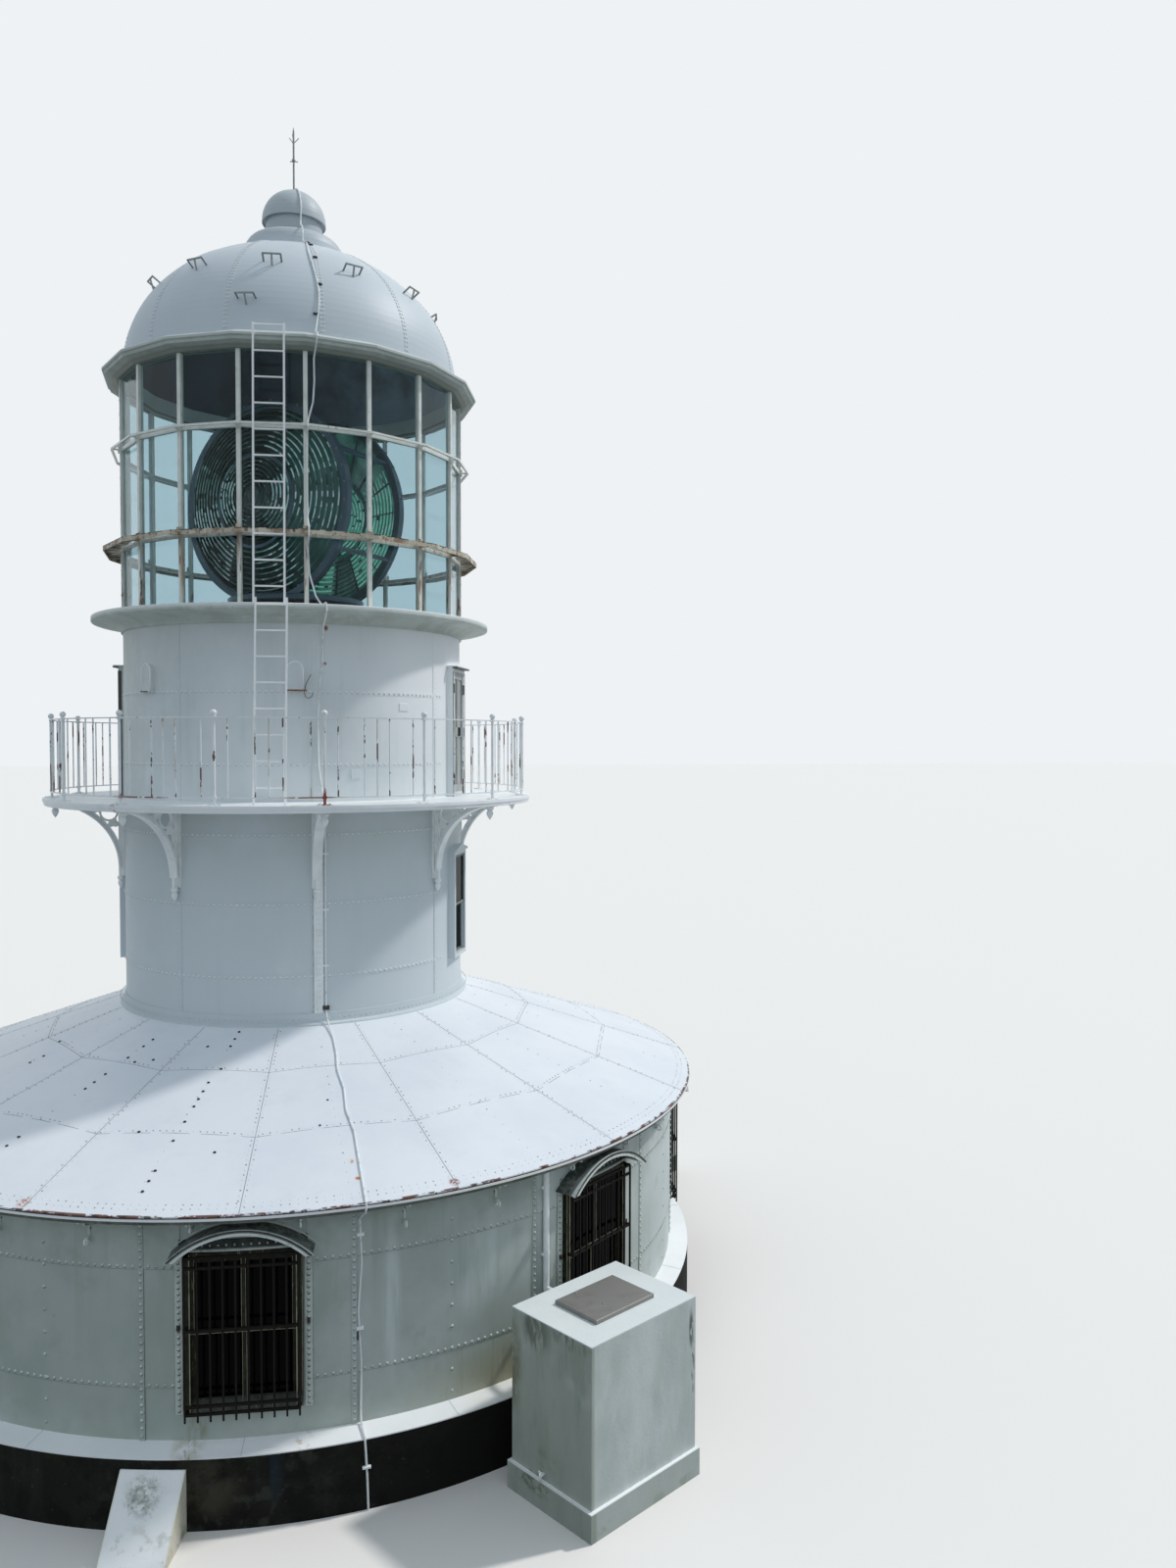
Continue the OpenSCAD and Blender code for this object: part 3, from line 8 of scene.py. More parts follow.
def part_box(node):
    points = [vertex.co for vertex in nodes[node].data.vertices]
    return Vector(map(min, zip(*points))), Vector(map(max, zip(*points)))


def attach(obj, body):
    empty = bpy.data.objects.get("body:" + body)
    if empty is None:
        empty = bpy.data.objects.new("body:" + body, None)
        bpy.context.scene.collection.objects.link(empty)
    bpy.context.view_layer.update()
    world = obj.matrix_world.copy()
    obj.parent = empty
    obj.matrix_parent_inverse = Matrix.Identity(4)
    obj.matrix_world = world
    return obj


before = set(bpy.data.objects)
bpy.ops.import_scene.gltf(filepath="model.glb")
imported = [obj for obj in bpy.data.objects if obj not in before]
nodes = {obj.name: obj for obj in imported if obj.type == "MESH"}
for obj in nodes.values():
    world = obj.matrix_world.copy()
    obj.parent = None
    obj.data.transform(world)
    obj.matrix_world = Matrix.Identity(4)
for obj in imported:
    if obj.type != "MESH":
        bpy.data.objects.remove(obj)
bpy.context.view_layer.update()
chance = random.Random(1896)

# Places and sizes in metres, worked out from the boxes of the solids.
# An angle is in degrees from the side that faces the camera, and grows to the right.
house_r = -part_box("house_wall_front")[0].y
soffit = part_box("house_wall_front")[1].z
tower_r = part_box("tower_wall")[1].x
tower_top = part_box("tower_wall")[1].z
base_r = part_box("base")[1].x
base_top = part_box("base")[1].z
ledge_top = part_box("ledge")[1].z
roof_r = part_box("cone_roof")[1].x
roof_edge_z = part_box("cone_roof")[0].z
roof_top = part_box("cone_roof")[1].z
roof_t = 0.05
roof_fall = (roof_top - roof_edge_z - roof_t) / (roof_r - tower_r)
curb_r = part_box("roof_curb")[1].x
curb_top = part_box("roof_curb")[1].z
deck_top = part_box("gallery_deck")[1].z
rail_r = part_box("gallery_deck")[1].x - 0.105
low_rail_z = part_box("railing_rails")[0].z + 0.015
watch_r = -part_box("watch_wall")[0].y
cornice_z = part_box("cornice")[0].z
floor_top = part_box("lantern_floor")[1].z
eave_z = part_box("lantern_eave")[0].z
dome_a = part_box("dome")[1].x
dome_b = 1.78
dome_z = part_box("dome")[0].z
walk_z = (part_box("catwalk")[0].z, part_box("catwalk")[1].z)
hand_z = (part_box("lantern_handrail")[0].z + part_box("lantern_handrail")[1].z) / 2
glazing_bar_r = 2.316
lens_z = (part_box("lens_frame")[0].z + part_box("lens_frame")[1].z) / 2
lens_off = 0.60
rim_r = 1.37
outer_rings = (0.64, 1.275)
inner_rings = (0.15, 0.60)

bay_a, bay_step, door_bay = -6.0, 45.0, 4
window_w = 1.15
window_z = (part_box("house_window_frames")[0].z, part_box("house_window_frames")[1].z)
window_half = degrees(asin((window_w / 2 + 0.01) / house_r))
surround_w = 0.075
sheet_step = 22.5
side_a = (68.4, -97.0)
front_vent_a = -0.6
vent_a = (-52.5, front_vent_a, 127.5, 179.4)
front_strip_a = 5.9
strip_a = (front_strip_a, 51.0, 141.0, 231.0, 321.0)
lantern_a, lantern_step = 3.0, 20.0
lens_a = -38.7
valve_a = (lens_a, lens_a + 180)
post_a, post_step = 5.5, 22.5
block_a = -14.65
tank_a = (30.3, 120.3)
tank_mid = (-0.206, 6.41)
tank_left, tank_right, tank_face = -0.966, 0.554, 6.995
plinth_top = 0.29

# Heights of the level rows of rivets, and radii of the corners where the roof's sheets lap
house_rows = (1.315, 2.51)
house_pitch = 0.078
wall_rings = ((tower_r, (4.75, 5.65, 6.51)), (watch_r, (7.388, 8.289)))
lap_corners = (3.29, 4.43)
eave_rows_r = (5.41, 5.47)


def around(radius, angle, z=0.0):
    """The point at a radius, an angle and a height."""
    a = radians(angle)
    return Vector((radius * sin(a), -radius * cos(a), z))


def sideways(angle):
    """The level direction to the right of an angle, seen from outside."""
    return around(1, angle + 90)


def place(angle, u, v, z):
    """The point that lies u to the right and v outward from the axis, at an angle and a height."""
    return sideways(angle) * u + around(v, angle, z)


def up(z):
    return Vector((0, 0, z))


def roof_height(radius):
    return roof_top - (radius - tower_r) * roof_fall


def bays(start, step):
    """The angles of equal bays all round."""
    return [start + step * k for k in range(round(360 / step))]


def ring_of(radius, pitch):
    """The angles of places all round a ring, at an even pitch."""
    count = round(2 * pi * radius / pitch)
    return [360 * k / count for k in range(count)]


def spaced(start, end, pitch):
    """Places from a start up to an end, at an even pitch."""
    while start < end:
        yield start
        start += pitch


def nearest(angle, others):
    """The turn from an angle to the nearest of some others."""
    return min(abs((angle - other + 180) % 360 - 180) for other in others)


bay_angles = bays(bay_a, bay_step)
window_angles = [a for k, a in enumerate(bay_angles) if k != door_bay]
strap_angles = bays(-16.85, sheet_step)


# Node and colour tools

def linear(code):
    """A colour written as sRGB hex, as the linear values that a shader takes."""
    parts = [int(code[i:i + 2], 16) / 255 for i in (1, 3, 5)]
    return [v / 12.92 if v <= 0.04045 else ((v + 0.055) / 1.055) ** 2.4 for v in parts] + [1]


def add(tree, kind, inputs=None, **settings):
    """A shader node with its settings, values and links."""
    node = tree.nodes.new("ShaderNode" + kind)
    for key, value in settings.items():
        setattr(node, key, value)
    for key, value in (inputs or {}).items():
        if isinstance(value, bpy.types.NodeSocket):
            tree.links.new(value, node.inputs[key])
        else:
            node.inputs[key].default_value = value
    return node


def new_finish(name, colour, rough, **shader):
    """A material with its own shader, whose even values sit on the shader's sockets."""
    finish = bpy.data.materials.new(name)
    finish.use_nodes = True
    tree = finish.node_tree
    tree.nodes.clear()
    values = {"Base Color": linear(colour), "Roughness": rough}
    values.update({key.replace("_", " "): value for key, value in shader.items()})
    surface = add(tree, "BsdfPrincipled", values)
    add(tree, "OutputMaterial", {"Surface": surface.outputs[0]})
    return finish, tree, surface


def coat(colour, size, low, high, strength, run=1, where=(), spot=None, rough=None, detail=5):
    """One layer of weathering: its colour, the size of its patches in millimetres, and where it lies.

    A run below 1 draws the patches out upward. Each place in where is an axis, the value at which the
    layer starts and the value at which it is whole, and a spot is a centre and three radii.
    """
    return colour, size, low, high, strength, run, where, spot, rough, detail


def scaled(run):
    """The scale of a noise on three axes, from its run."""
    return run if isinstance(run, tuple) else (1, 1, run)


def weathered(name, colour, rough, coats, bumps=(), **shader):
    """A finish whose base colour lies under layers of weathering, each a patchy noise in millimetres."""
    finish, tree, surface = new_finish(name, colour, rough, **shader)
    here = add(tree, "TexCoord").outputs["Object"]
    axes = add(tree, "SeparateXYZ", {0: here}).outputs
    flat = add(tree, "VectorMath", {0: here, 1: (1, 1, 0)}, operation="MULTIPLY").outputs[0]
    reach = add(tree, "VectorMath", {0: flat}, operation="LENGTH").outputs["Value"]
    ruler = {"x": axes["X"], "y": axes["Y"], "z": axes["Z"], "r": reach}
    tint, gloss, normal = linear(colour), rough, None
    for number, (cover, size, low, high, strength, run, where, spot, dulled, detail) in enumerate(coats):
        shift = (number * 7.3, number * 3.1, number * 5.7)
        moved = add(tree, "Mapping", {"Vector": here, "Scale": scaled(run), "Location": shift}).outputs[0]
        noise = add(tree, "TexNoise", {"Vector": moved, "Scale": 1000 / size, "Detail": detail,
                    "Roughness": 0.6}).outputs[0]
        mask = add(tree, "MapRange", {"Value": noise, "From Min": low, "From Max": high, "To Max": strength},
                   interpolation_type="SMOOTHSTEP").outputs[0]
        limits = []
        for axis, start, end in where:
            if isinstance(axis, Vector):
                along = add(tree, "VectorMath", {0: here, 1: axis}, operation="DOT_PRODUCT").outputs["Value"]
            else:
                along = ruler[axis]
            limits.append((along, start, end))
        if spot:
            away = add(tree, "VectorMath", {0: here, 1: spot[0]}, operation="SUBTRACT").outputs[0]
            away = add(tree, "VectorMath", {0: away, 1: spot[1]}, operation="DIVIDE").outputs[0]
            away = add(tree, "VectorMath", {0: away}, operation="LENGTH").outputs["Value"]
            limits.append((away, 1.0, 0.35))
        for along, start, end in limits:
            fade = add(tree, "MapRange", {"Value": along, "From Min": start, "From Max": end},
                       interpolation_type="SMOOTHSTEP").outputs[0]
            mask = add(tree, "Math", {0: mask, 1: fade}, operation="MULTIPLY").outputs[0]
        tint = add(tree, "Mix", {"Factor": mask, 6: tint, 7: linear(cover)}, data_type="RGBA").outputs[2]
        if dulled is not None:
            gloss = add(tree, "Mix", {"Factor": mask, 2: gloss, 3: dulled}, data_type="FLOAT").outputs[0]
    for size, depth, *run in bumps:
        moved = add(tree, "Mapping", {"Vector": here, "Scale": scaled(*run or (1,))}).outputs[0]
        noise = add(tree, "TexNoise", {"Vector": moved, "Scale": 1000 / size, "Detail": 4}).outputs[0]
        bump = {"Height": noise, "Distance": depth / 1000, "Strength": 1.0}
        if normal:
            bump["Normal"] = normal
        normal = add(tree, "Bump", bump).outputs[0]
    for value, socket in ((tint, "Base Color"), (gloss, "Roughness"), (normal, "Normal")):
        if isinstance(value, bpy.types.NodeSocket):
            tree.links.new(value, surface.inputs[socket])
    return finish


# Finishes, each named for its real material

def concrete():
    """Cast concrete, board marked and years in the wet: near black with moss, a dark rough band, and painted
    shadow on the right.
    """
    return weathered("mossy_cast_concrete", "#161613", 0.92, [
        coat("#31322c", 700, 0.40, 0.7, 0.8, where=((sideways(0), -2.6, -1.4), (sideways(0), 0.9, -0.2))),
        coat("#45483f", 160, 0.50, 0.66, 0.55, where=((sideways(0), -2.4, -1.2), (sideways(0), 0.7, -0.3))),
        coat("#232a1c", 420, 0.5, 0.68, 0.7, where=(("z", 0.2, 0.65),)),
        coat("#080908", 260, 0.48, 0.62, 0.8), coat("#3a3d39", 300, 0.55, 0.8, 0.5, run=0.12),
        coat("#60635a", 50, 0.64, 0.74, 0.45),
        coat("#4a453b", 300, 0.35, 0.6, 0.75, spot=(around(base_r, -9.5, 0.42), (0.45, 0.6, 0.38))),
        coat("#33414a", 300, 0.3, 0.6, 0.6, run=0.2, spot=(around(base_r, -2.6, 0.55), (0.09, 0.6, 0.42))),
        # Painted shadow: the right side of the base is painted nearly black.
        coat("#060606", 900, 0.0, 0.35, 1.0, where=(("x", 0.6, 2.0),)),
    ], [(240, 9), (35, 3), (300, 4, 0.05)], Specular_IOR_Level=0.2)


def steps():
    """Trowelled concrete steps, worn paler where feet fall."""
    return weathered("trowelled_step_concrete", "#8c8d86", 0.88, [
        coat("#55564e", 300, 0.45, 0.7, 0.7),
        coat("#a8aaa3", 180, 0.5, 0.75, 0.6, where=(("z", 0.05, 0.5),)),
        coat("#3d4230", 120, 0.58, 0.7, 0.6),
    ], [(40, 2)])


def render():
    """White masonry paint on cement render: chalky, bright on top, with mould under the left side's edges."""
    body = ("z", 1.895, 1.88)
    layers = [
        coat("#dbe1e0", 520, 0.4, 0.7, 0.6),
        coat("#b7c0bd", 420, 0.28, 0.68, 0.7, run=0.35, where=(body,)),
        coat("#a9b3b2", 220, 0.56, 0.76, 0.35, run=0.3, where=(body,)),
        coat("#b9c0ba", 500, 0.1, 0.5, 0.7, where=(("z", plinth_top + 0.002, plinth_top - 0.002),)),
        coat("#8d9981", 200, 0.52, 0.68, 0.5, where=(("z", 0.3, 0.05),)),
    ]
    for a in tank_a:
        side = sideways(a)
        left = (side, tank_left + 0.06, tank_left + 0.01)
        near = (around(1, a), 5.7, 5.85)
        layers += [
            # Painted shade: the whole left face of each tank is painted a darker grey green.
            coat("#99a295", 800, 0.12, 0.5, 0.9, where=(left, near, body)),
            coat("#74806f", 320, 0.46, 0.66, 0.6, run=0.3, where=(left, near, body)),
            # Painted light: paler toward the wall, for the light the wall throws back onto the left face.
            coat("#bdc4b9", 260, 0.25, 0.6, 0.3, run=0.3, where=(left, (around(1, a), 6.75, 6.1), body)),
            coat("#39422f", 90, 0.42, 0.56, 0.9, run=0.3, where=(body,),
                 spot=(place(a, tank_left, 6.2, 1.78), (0.28, 0.28, 0.30))),
            coat("#1d1c14", 60, 0.44, 0.54, 0.9, run=0.25, where=(body,),
                 spot=(place(a, tank_left, 6.12, 1.82), (0.14, 0.14, 0.16))),
            coat("#4a5244", 60, 0.47, 0.58, 0.8, run=0.25, where=(body,),
                 spot=(place(a, tank_left, 6.68, 1.84), (0.40, 0.40, 0.12))),
            coat("#6a6242", 160, 0.34, 0.58, 0.85, run=0.5,
                 spot=(place(a, tank_left, 5.84, 1.3), (0.18, 0.18, 0.7))),
            coat("#7b856c", 110, 0.42, 0.6, 0.7, spot=(place(a, tank_left, 6.35, 0.5), (0.22, 0.22, 0.16))),
            coat("#4c5a3c", 90, 0.42, 0.58, 0.85, spot=(place(a, tank_left, 6.2, 0.22), (0.34, 0.34, 0.14))),
            coat("#23282a", 34, 0.40, 0.48, 0.95, run=0.25,
                 spot=(place(a, tank_right - 0.07, tank_face, 1.58), (0.045, 0.045, 0.27)), rough=0.95),
            coat("#3c4242", 26, 0.50, 0.58, 0.8, run=0.2,
                 spot=(place(a, tank_right - 0.04, tank_face, 1.2), (0.035, 0.035, 0.55))),
        ]
    # Painted highlight: a near white line along the upward bevel on top of the plinth.
    line = (("z", plinth_top - 0.010, plinth_top - 0.006), ("z", plinth_top + 0.006, plinth_top + 0.002))
    layers.append(coat("#fafcfc", 900, 0.05, 0.2, 0.95, where=line))
    return weathered("painted_cement_render", "#e5eae9", 0.82, layers, [(30, 1.6), (320, 5)])


def block():
    """Limewash on sloping masonry: bright, cream on its sides, with a grey green patch of mould."""
    side = sideways(block_a)
    return weathered("limewashed_masonry", "#fbfcfb", 0.85, [
        coat("#e3e6e3", 380, 0.42, 0.7, 0.5),
        coat("#e5dcc2", 500, 0.15, 0.5, 0.8, where=((side, 0.30, 0.318),)),
        coat("#e5dcc2", 500, 0.15, 0.5, 0.6, where=((side, -0.30, -0.318),)),
        coat("#8b9486", 75, 0.38, 0.62, 0.8, spot=(around(5.72, block_a - 0.4, 0.46), (0.2, 0.26, 0.2))),
        coat("#5e675a", 26, 0.52, 0.66, 0.6, spot=(around(5.72, block_a - 0.4, 0.46), (0.24, 0.3, 0.24))),
        coat("#8a8c74", 130, 0.5, 0.68, 0.6, where=(("z", 0.4, 0.05),)),
    ], [(30, 1.8), (260, 6)])


def house():
    """Oil paint brushed on wrought iron plate: satin, greyed green by salt and algae, with runs."""
    streak = around(house_r, 9.8, 1.95)
    return weathered("brushed_paint_on_house_plate", "#afb8b3", 0.48, [
        coat("#c3cbc7", 1500, 0.40, 0.7, 0.7), coat("#98a49a", 900, 0.40, 0.72, 0.6, run=0.6),
        coat("#cdd4d1", 900, 0.3, 0.6, 0.8, where=((sideways(0), 1.7, 3.0), ("z", 1.5, 2.3))),
        coat("#948f70", 900, 0.25, 0.55, 0.85, where=(("z", 1.45, 0.85), ("x", 0.9, 2.3), ("x", 4.4, 3.4))),
        coat("#7f7f6a", 36, 0.50, 0.70, 0.4, run=0.06,
             where=(("z", 1.5, 1.2), ("x", 0.9, 2.0), ("x", 4.4, 3.4))),
        # Painted light: the wall is paler at the far right, where the sun falls on it.
        coat("#d3dcdd", 900, 0.1, 0.5, 0.7, where=(("x", 3.9, 4.6),)),
        coat("#93998a", 1100, 0.42, 0.7, 0.5, where=(("z", 1.5, 0.8),)),
        coat("#84917f", 260, 0.50, 0.74, 0.4, run=0.07, where=(("z", 1.1, 2.9),)),
        coat("#707b73", 700, 0.46, 0.72, 0.55, where=(("z", 2.2, 2.95),)),
        coat("#8a968a", 500, 0.54, 0.76, 0.4), coat("#616d62", 70, 0.68, 0.80, 0.4),
        coat("#dfe6e4", 90, 0.34, 0.6, 0.55, run=0.06, spot=(streak, (0.13, 0.5, 0.95))),
        coat("#d6dedb", 160, 0.36, 0.66, 0.5, run=0.12, spot=(around(house_r, 20.5, 2.1), (0.5, 0.5, 0.7))),
        coat("#77682f", 110, 0.42, 0.6, 0.5, run=0.4,
             spot=(around(house_r, bay_a - 5, 0.86), (0.14, 0.4, 0.16))),
        coat("#5d4630", 24, 0.72, 0.78, 0.7, where=(("z", 1.3, 0.78),)),
    ], [(900, 7), (45, 0.25, 0.25)], Specular_IOR_Level=0.4)


def ledge():
    """Fresh white paint on the sheet ledge, with brown water stains under the corners of the window."""
    left = around(base_r - 0.13, bay_a - 5.6, 0.75)
    right = around(base_r - 0.13, bay_a + 6.2, 0.75)
    return weathered("white_paint_on_ledge_sheet", "#fcfdfe", 0.42, [
        coat("#f1f4f5", 450, 0.4, 0.7, 0.5),
        coat("#ddd5b8", 900, 0.35, 0.65, 0.5, where=(("x", 0.6, 2.6), ("x", 4.2, 3.2))),
        coat("#c3bba2", 160, 0.34, 0.6, 0.6, spot=(left, (0.2, 0.4, 0.4))),
        coat("#8d8162", 60, 0.46, 0.62, 0.6, run=(1, 0.3, 1), spot=(left, (0.1, 0.4, 0.4))),
        coat("#c6a877", 70, 0.46, 0.62, 0.6, spot=(right, (0.12, 0.3, 0.4))),
        coat("#6a5b4a", 22, 0.72, 0.79, 0.5),
    ], [(400, 3)], Coat_Weight=0.1)


def roof():
    """Thick gloss paint on lapped iron sheets: bright, a little wavy, with thin rust along the edge."""
    rim = roof_r - 0.02
    lip = ("z", roof_edge_z + 0.030, roof_edge_z + 0.036)
    rusty = around(5.475, bay_a + 22.4, roof_height(5.475))
    return weathered("gloss_paint_on_roof_sheet", "#e9edf2", 0.42, [
        coat("#dde3eb", 1400, 0.38, 0.68, 0.7), coat("#d5dbe1", 300, 0.54, 0.78, 0.3),
        coat("#c98a55", 22, 0.66, 0.71, 0.7, where=(("r", rim - 0.08, rim),), rough=0.8),
        coat("#6e3a2c", 190, 0.48, 0.54, 0.95, run=4,
             where=(("r", rim - 0.004, rim + 0.004), lip), rough=0.85),
        coat("#3f2a22", 110, 0.52, 0.57, 0.9, where=(("r", rim, rim + 0.008), lip), rough=0.85),
        coat("#8c4a30", 26, 0.36, 0.5, 0.95, spot=(rusty, (0.075, 0.075, 0.2))),
        coat("#b5602c", 26, 0.42, 0.55, 0.9,
             spot=(around(5.478, -28.9, roof_height(5.478)), (0.09, 0.09, 0.2))),
        coat("#d79a3f", 40, 0.35, 0.5, 0.9, spot=(around(4.93, 6.05, roof_height(4.93)), (0.03, 0.045, 0.2))),
        coat("#c4722b", 40, 0.35, 0.5, 0.95,
             spot=(around(5.196, 6.3, roof_height(5.196)), (0.04, 0.035, 0.2))),
        coat("#70757a", 14, 0.74, 0.79, 0.6),
    ], [(1100, 9), (160, 1.2)], Coat_Weight=0.15, Coat_Roughness=0.3)


def tower():
    """White gloss paint on the tower's rolled iron plates, cleaner than the house, with faint grey runs;
    painted shade on the left and on the dome, painted light high on the right.
    """
    rust_a = around(watch_r, 8.6, 9.10)
    rust_b = around(watch_r, 8.5, 8.66)
    return weathered("gloss_paint_on_tower_plate", "#e2e7e8", 0.5, [
        coat("#d2d9da", 1600, 0.36, 0.7, 0.8), coat("#c3cdcb", 300, 0.5, 0.76, 0.5, run=0.1),
        coat("#bfc5ae", 900, 0.25, 0.55, 0.9, where=(("z", 5.4, 6.85), ("z", 6.96, 6.9))),
        # Painted shade: darker on the left side, away from the sun.
        coat("#c3cac6", 900, 0.30, 0.6, 0.7, where=(("x", -0.9, -2.3), ("z", 9.3, 9.1))),
        # Painted light: near white high on the right of the watch room, for light thrown back onto it.
        coat("#fafcfd", 900, 0.1, 0.4, 0.95,
             where=((sideways(0), 0.3, 1.5), ("z", 7.2, 8.4), ("z", 9.3, 9.1))),
        coat("#cbd4d9", 900, 0.1, 0.4, 0.7, where=(("z", 6.86, 6.80),)),
        # Painted shade: the dome is painted blue grey for the sky's blue light in its shade.
        coat("#ccd5dc", 1200, 0.0, 0.5, 0.9, where=(("z", 12.66, 12.74),)),
        coat("#b3babd", 900, 0.1, 0.4, 0.6, where=(("z", 14.4, 14.6),)),
        coat("#8e4423", 22, 0.30, 0.46, 0.95, spot=(rust_a, (0.045, 0.2, 0.05)), rough=0.85),
        coat("#8e4423", 18, 0.30, 0.46, 0.9, spot=(rust_b, (0.025, 0.2, 0.025)), rough=0.85),
        coat("#7f6c58", 22, 0.72, 0.79, 0.6),
    ], [(900, 6), (60, 0.3, 0.2)], Specular_IOR_Level=0.35)


def deck():
    """White deck paint on the gallery plate and rim, scuffed, with rust at the feet of the front posts."""
    return weathered("deck_paint_on_gallery_plate", "#fafcfd", 0.44, [
        coat("#e3e7e8", 380, 0.42, 0.7, 0.5), coat("#b8ae9c", 120, 0.64, 0.76, 0.45),
        coat("#7d2f20", 50, 0.42, 0.52, 0.95,
             spot=(around(rail_r, post_a, deck_top), (0.16, 0.075, 0.2)), rough=0.85),
        coat("#b5742c", 36, 0.44, 0.52, 0.9,
             spot=(around(rail_r, post_a - 6, deck_top), (0.10, 0.06, 0.2)), rough=0.85),
        coat("#7d2f20", 50, 0.44, 0.54, 0.95,
             spot=(around(rail_r, post_a - 45, deck_top), (0.16, 0.14, 0.2)), rough=0.85),
        coat("#6b3322", 22, 0.72, 0.77, 0.85, rough=0.9),
    ], [(240, 3), (20, 0.5)])


def casting():
    """Thick white paint on grey iron castings, with the sand texture of the mould and dirt in the hollows."""
    return weathered("paint_on_sand_cast_iron", "#f3f6f5", 0.4, [
        coat("#dde2e0", 260, 0.42, 0.7, 0.7), coat("#a9b0aa", 60, 0.60, 0.74, 0.5, run=0.3),
        coat("#7d5a3c", 26, 0.71, 0.77, 0.75, rough=0.85),
    ], [(9, 0.8), (120, 2)], Coat_Weight=0.3)


def rail():
    """Paint on the railing's iron bar: mostly whole, with dark chips, and rust along the foot rail."""
    foot = around(rail_r, post_a, deck_top + 0.05)
    return weathered("chipped_paint_on_iron_bar", "#f0f3f3", 0.4, [
        coat("#d5dada", 200, 0.4, 0.7, 0.6), coat("#c9b49a", 90, 0.64, 0.71, 0.6, run=0.35, rough=0.8),
        coat("#5f2a20", 70, 0.67, 0.69, 0.95, run=0.5, rough=0.9),
        coat("#7e2c20", 70, 0.36, 0.46, 0.95, spot=(foot, (0.12, 0.12, 0.22)), rough=0.9),
        coat("#8c3a26", 90, 0.40, 0.46, 0.95,
             spot=(around(rail_r, 2.6, low_rail_z), (0.42, 0.3, 0.06)), rough=0.9),
        coat("#7e2c20", 90, 0.40, 0.46, 0.95,
             spot=(around(rail_r, -34, low_rail_z), (0.5, 0.5, 0.06)), rough=0.9),
    ], [(12, 0.7)], Coat_Weight=0.3)


def baluster():
    """Paint on thin round bars, mostly whole, flaked off in short runs down to dark red rust."""
    return weathered("flaking_paint_on_round_bar", "#eef2f4", 0.5, [
        coat("#c3b29c", 260, 0.53, 0.61, 0.6, run=0.3, rough=0.8),
        coat("#5d2a22", 240, 0.570, 0.590, 0.95, run=(1.4, 1.4, 0.6), rough=0.9),
        coat("#241413", 110, 0.60, 0.63, 0.9, run=0.5, rough=0.92),
    ], [(12, 0.7)])


def lantern():
    """Cream white paint on the glazing bars, streaked brown with rust below the walkway."""
    return weathered("cream_paint_on_glazing_bar", "#eef0ea", 0.4, [
        coat("#d6d8ce", 180, 0.4, 0.7, 0.7),
        coat("#b79a78", 90, 0.47, 0.64, 0.7, run=0.12, where=(("z", 10.5, 10.1),), rough=0.75),
        coat("#7b4a2b", 60, 0.56, 0.65, 0.9, run=0.15, where=(("z", 10.4, 10.1),), rough=0.85),
        coat("#a5926f", 70, 0.62, 0.72, 0.55, run=0.2), coat("#4a2f22", 22, 0.68, 0.72, 0.85, rough=0.9),
    ], [(14, 0.6)], Coat_Weight=0.3)


def sheltered():
    """Cream paint under the lantern's eave and the cornice, greened by algae and greyed as painted shade; the
    lips on top are painted light.
    """
    low, high = cornice_z + 0.15, cornice_z + 0.19
    return weathered("algae_and_painted_shade_on_eave_and_cornice", "#c5cdc7", 0.6, [
        coat("#b1b9b1", 300, 0.42, 0.68, 0.8), coat("#dde2de", 200, 0.54, 0.72, 0.6),
        # Painted shade: darker at the foot of the lantern's eave.
        coat("#7f877f", 900, 0.1, 0.3, 0.9, where=(("z", eave_z + 0.044, eave_z + 0.030), ("z", 12.0, 12.1))),
        # Painted light: paler on the top of the lantern's eave.
        coat("#c6cdca", 900, 0.1, 0.3, 0.95, where=(("z", eave_z + 0.095, eave_z + 0.11),)),
        # Painted light: the top lip of the cornice is painted near white.
        coat("#eef1ef", 900, 0.1, 0.3, 0.95, where=(("z", low, high), ("z", walk_z[0], cornice_z + 0.5))),
        coat("#6a5a44", 26, 0.66, 0.72, 0.8, rough=0.85),
    ], [(14, 0.6)])


def walkway():
    """Rolled angle iron that has lost much of its cream paint: brown rust, and black chips along the top."""
    return weathered("rusted_rolled_angle_iron", "#c3baa6", 0.7, [
        coat("#d8d2c1", 220, 0.47, 0.58, 0.8, rough=0.5), coat("#8d6a50", 210, 0.52, 0.62, 0.85),
        coat("#6a4530", 70, 0.57, 0.65, 0.85),
        coat("#1c1210", 120, 0.47, 0.51, 0.95,
             where=(("z", walk_z[1] - 0.016, walk_z[1] - 0.008), ("r", 2.3, 2.4))),
        coat("#2c1d18", 50, 0.62, 0.66, 0.95),
    ], [(18, 1.6), (5, 0.5)])


def sash():
    """Old olive brown paint on timber, crazed along the grain, with thin gold green streaks that are painted
    highlights.
    """
    return weathered("old_paint_on_timber_sash", "#292b1e", 0.5, [
        coat("#3d3f2e", 130, 0.48, 0.68, 0.7, run=0.3), coat("#191811", 120, 0.44, 0.6, 0.85),
        # Painted highlight: thin gold green streaks.
        coat("#8d8a63", 30, 0.60, 0.68, 0.75, run=0.12),
        coat("#73776f", 200, 0.25, 0.55, 0.7, where=(("z", 1.19, 1.10),)),
        coat("#15120d", 24, 0.63, 0.7, 0.8),
    ], [(8, 0.6, 0.1)], Specular_IOR_Level=0.15)


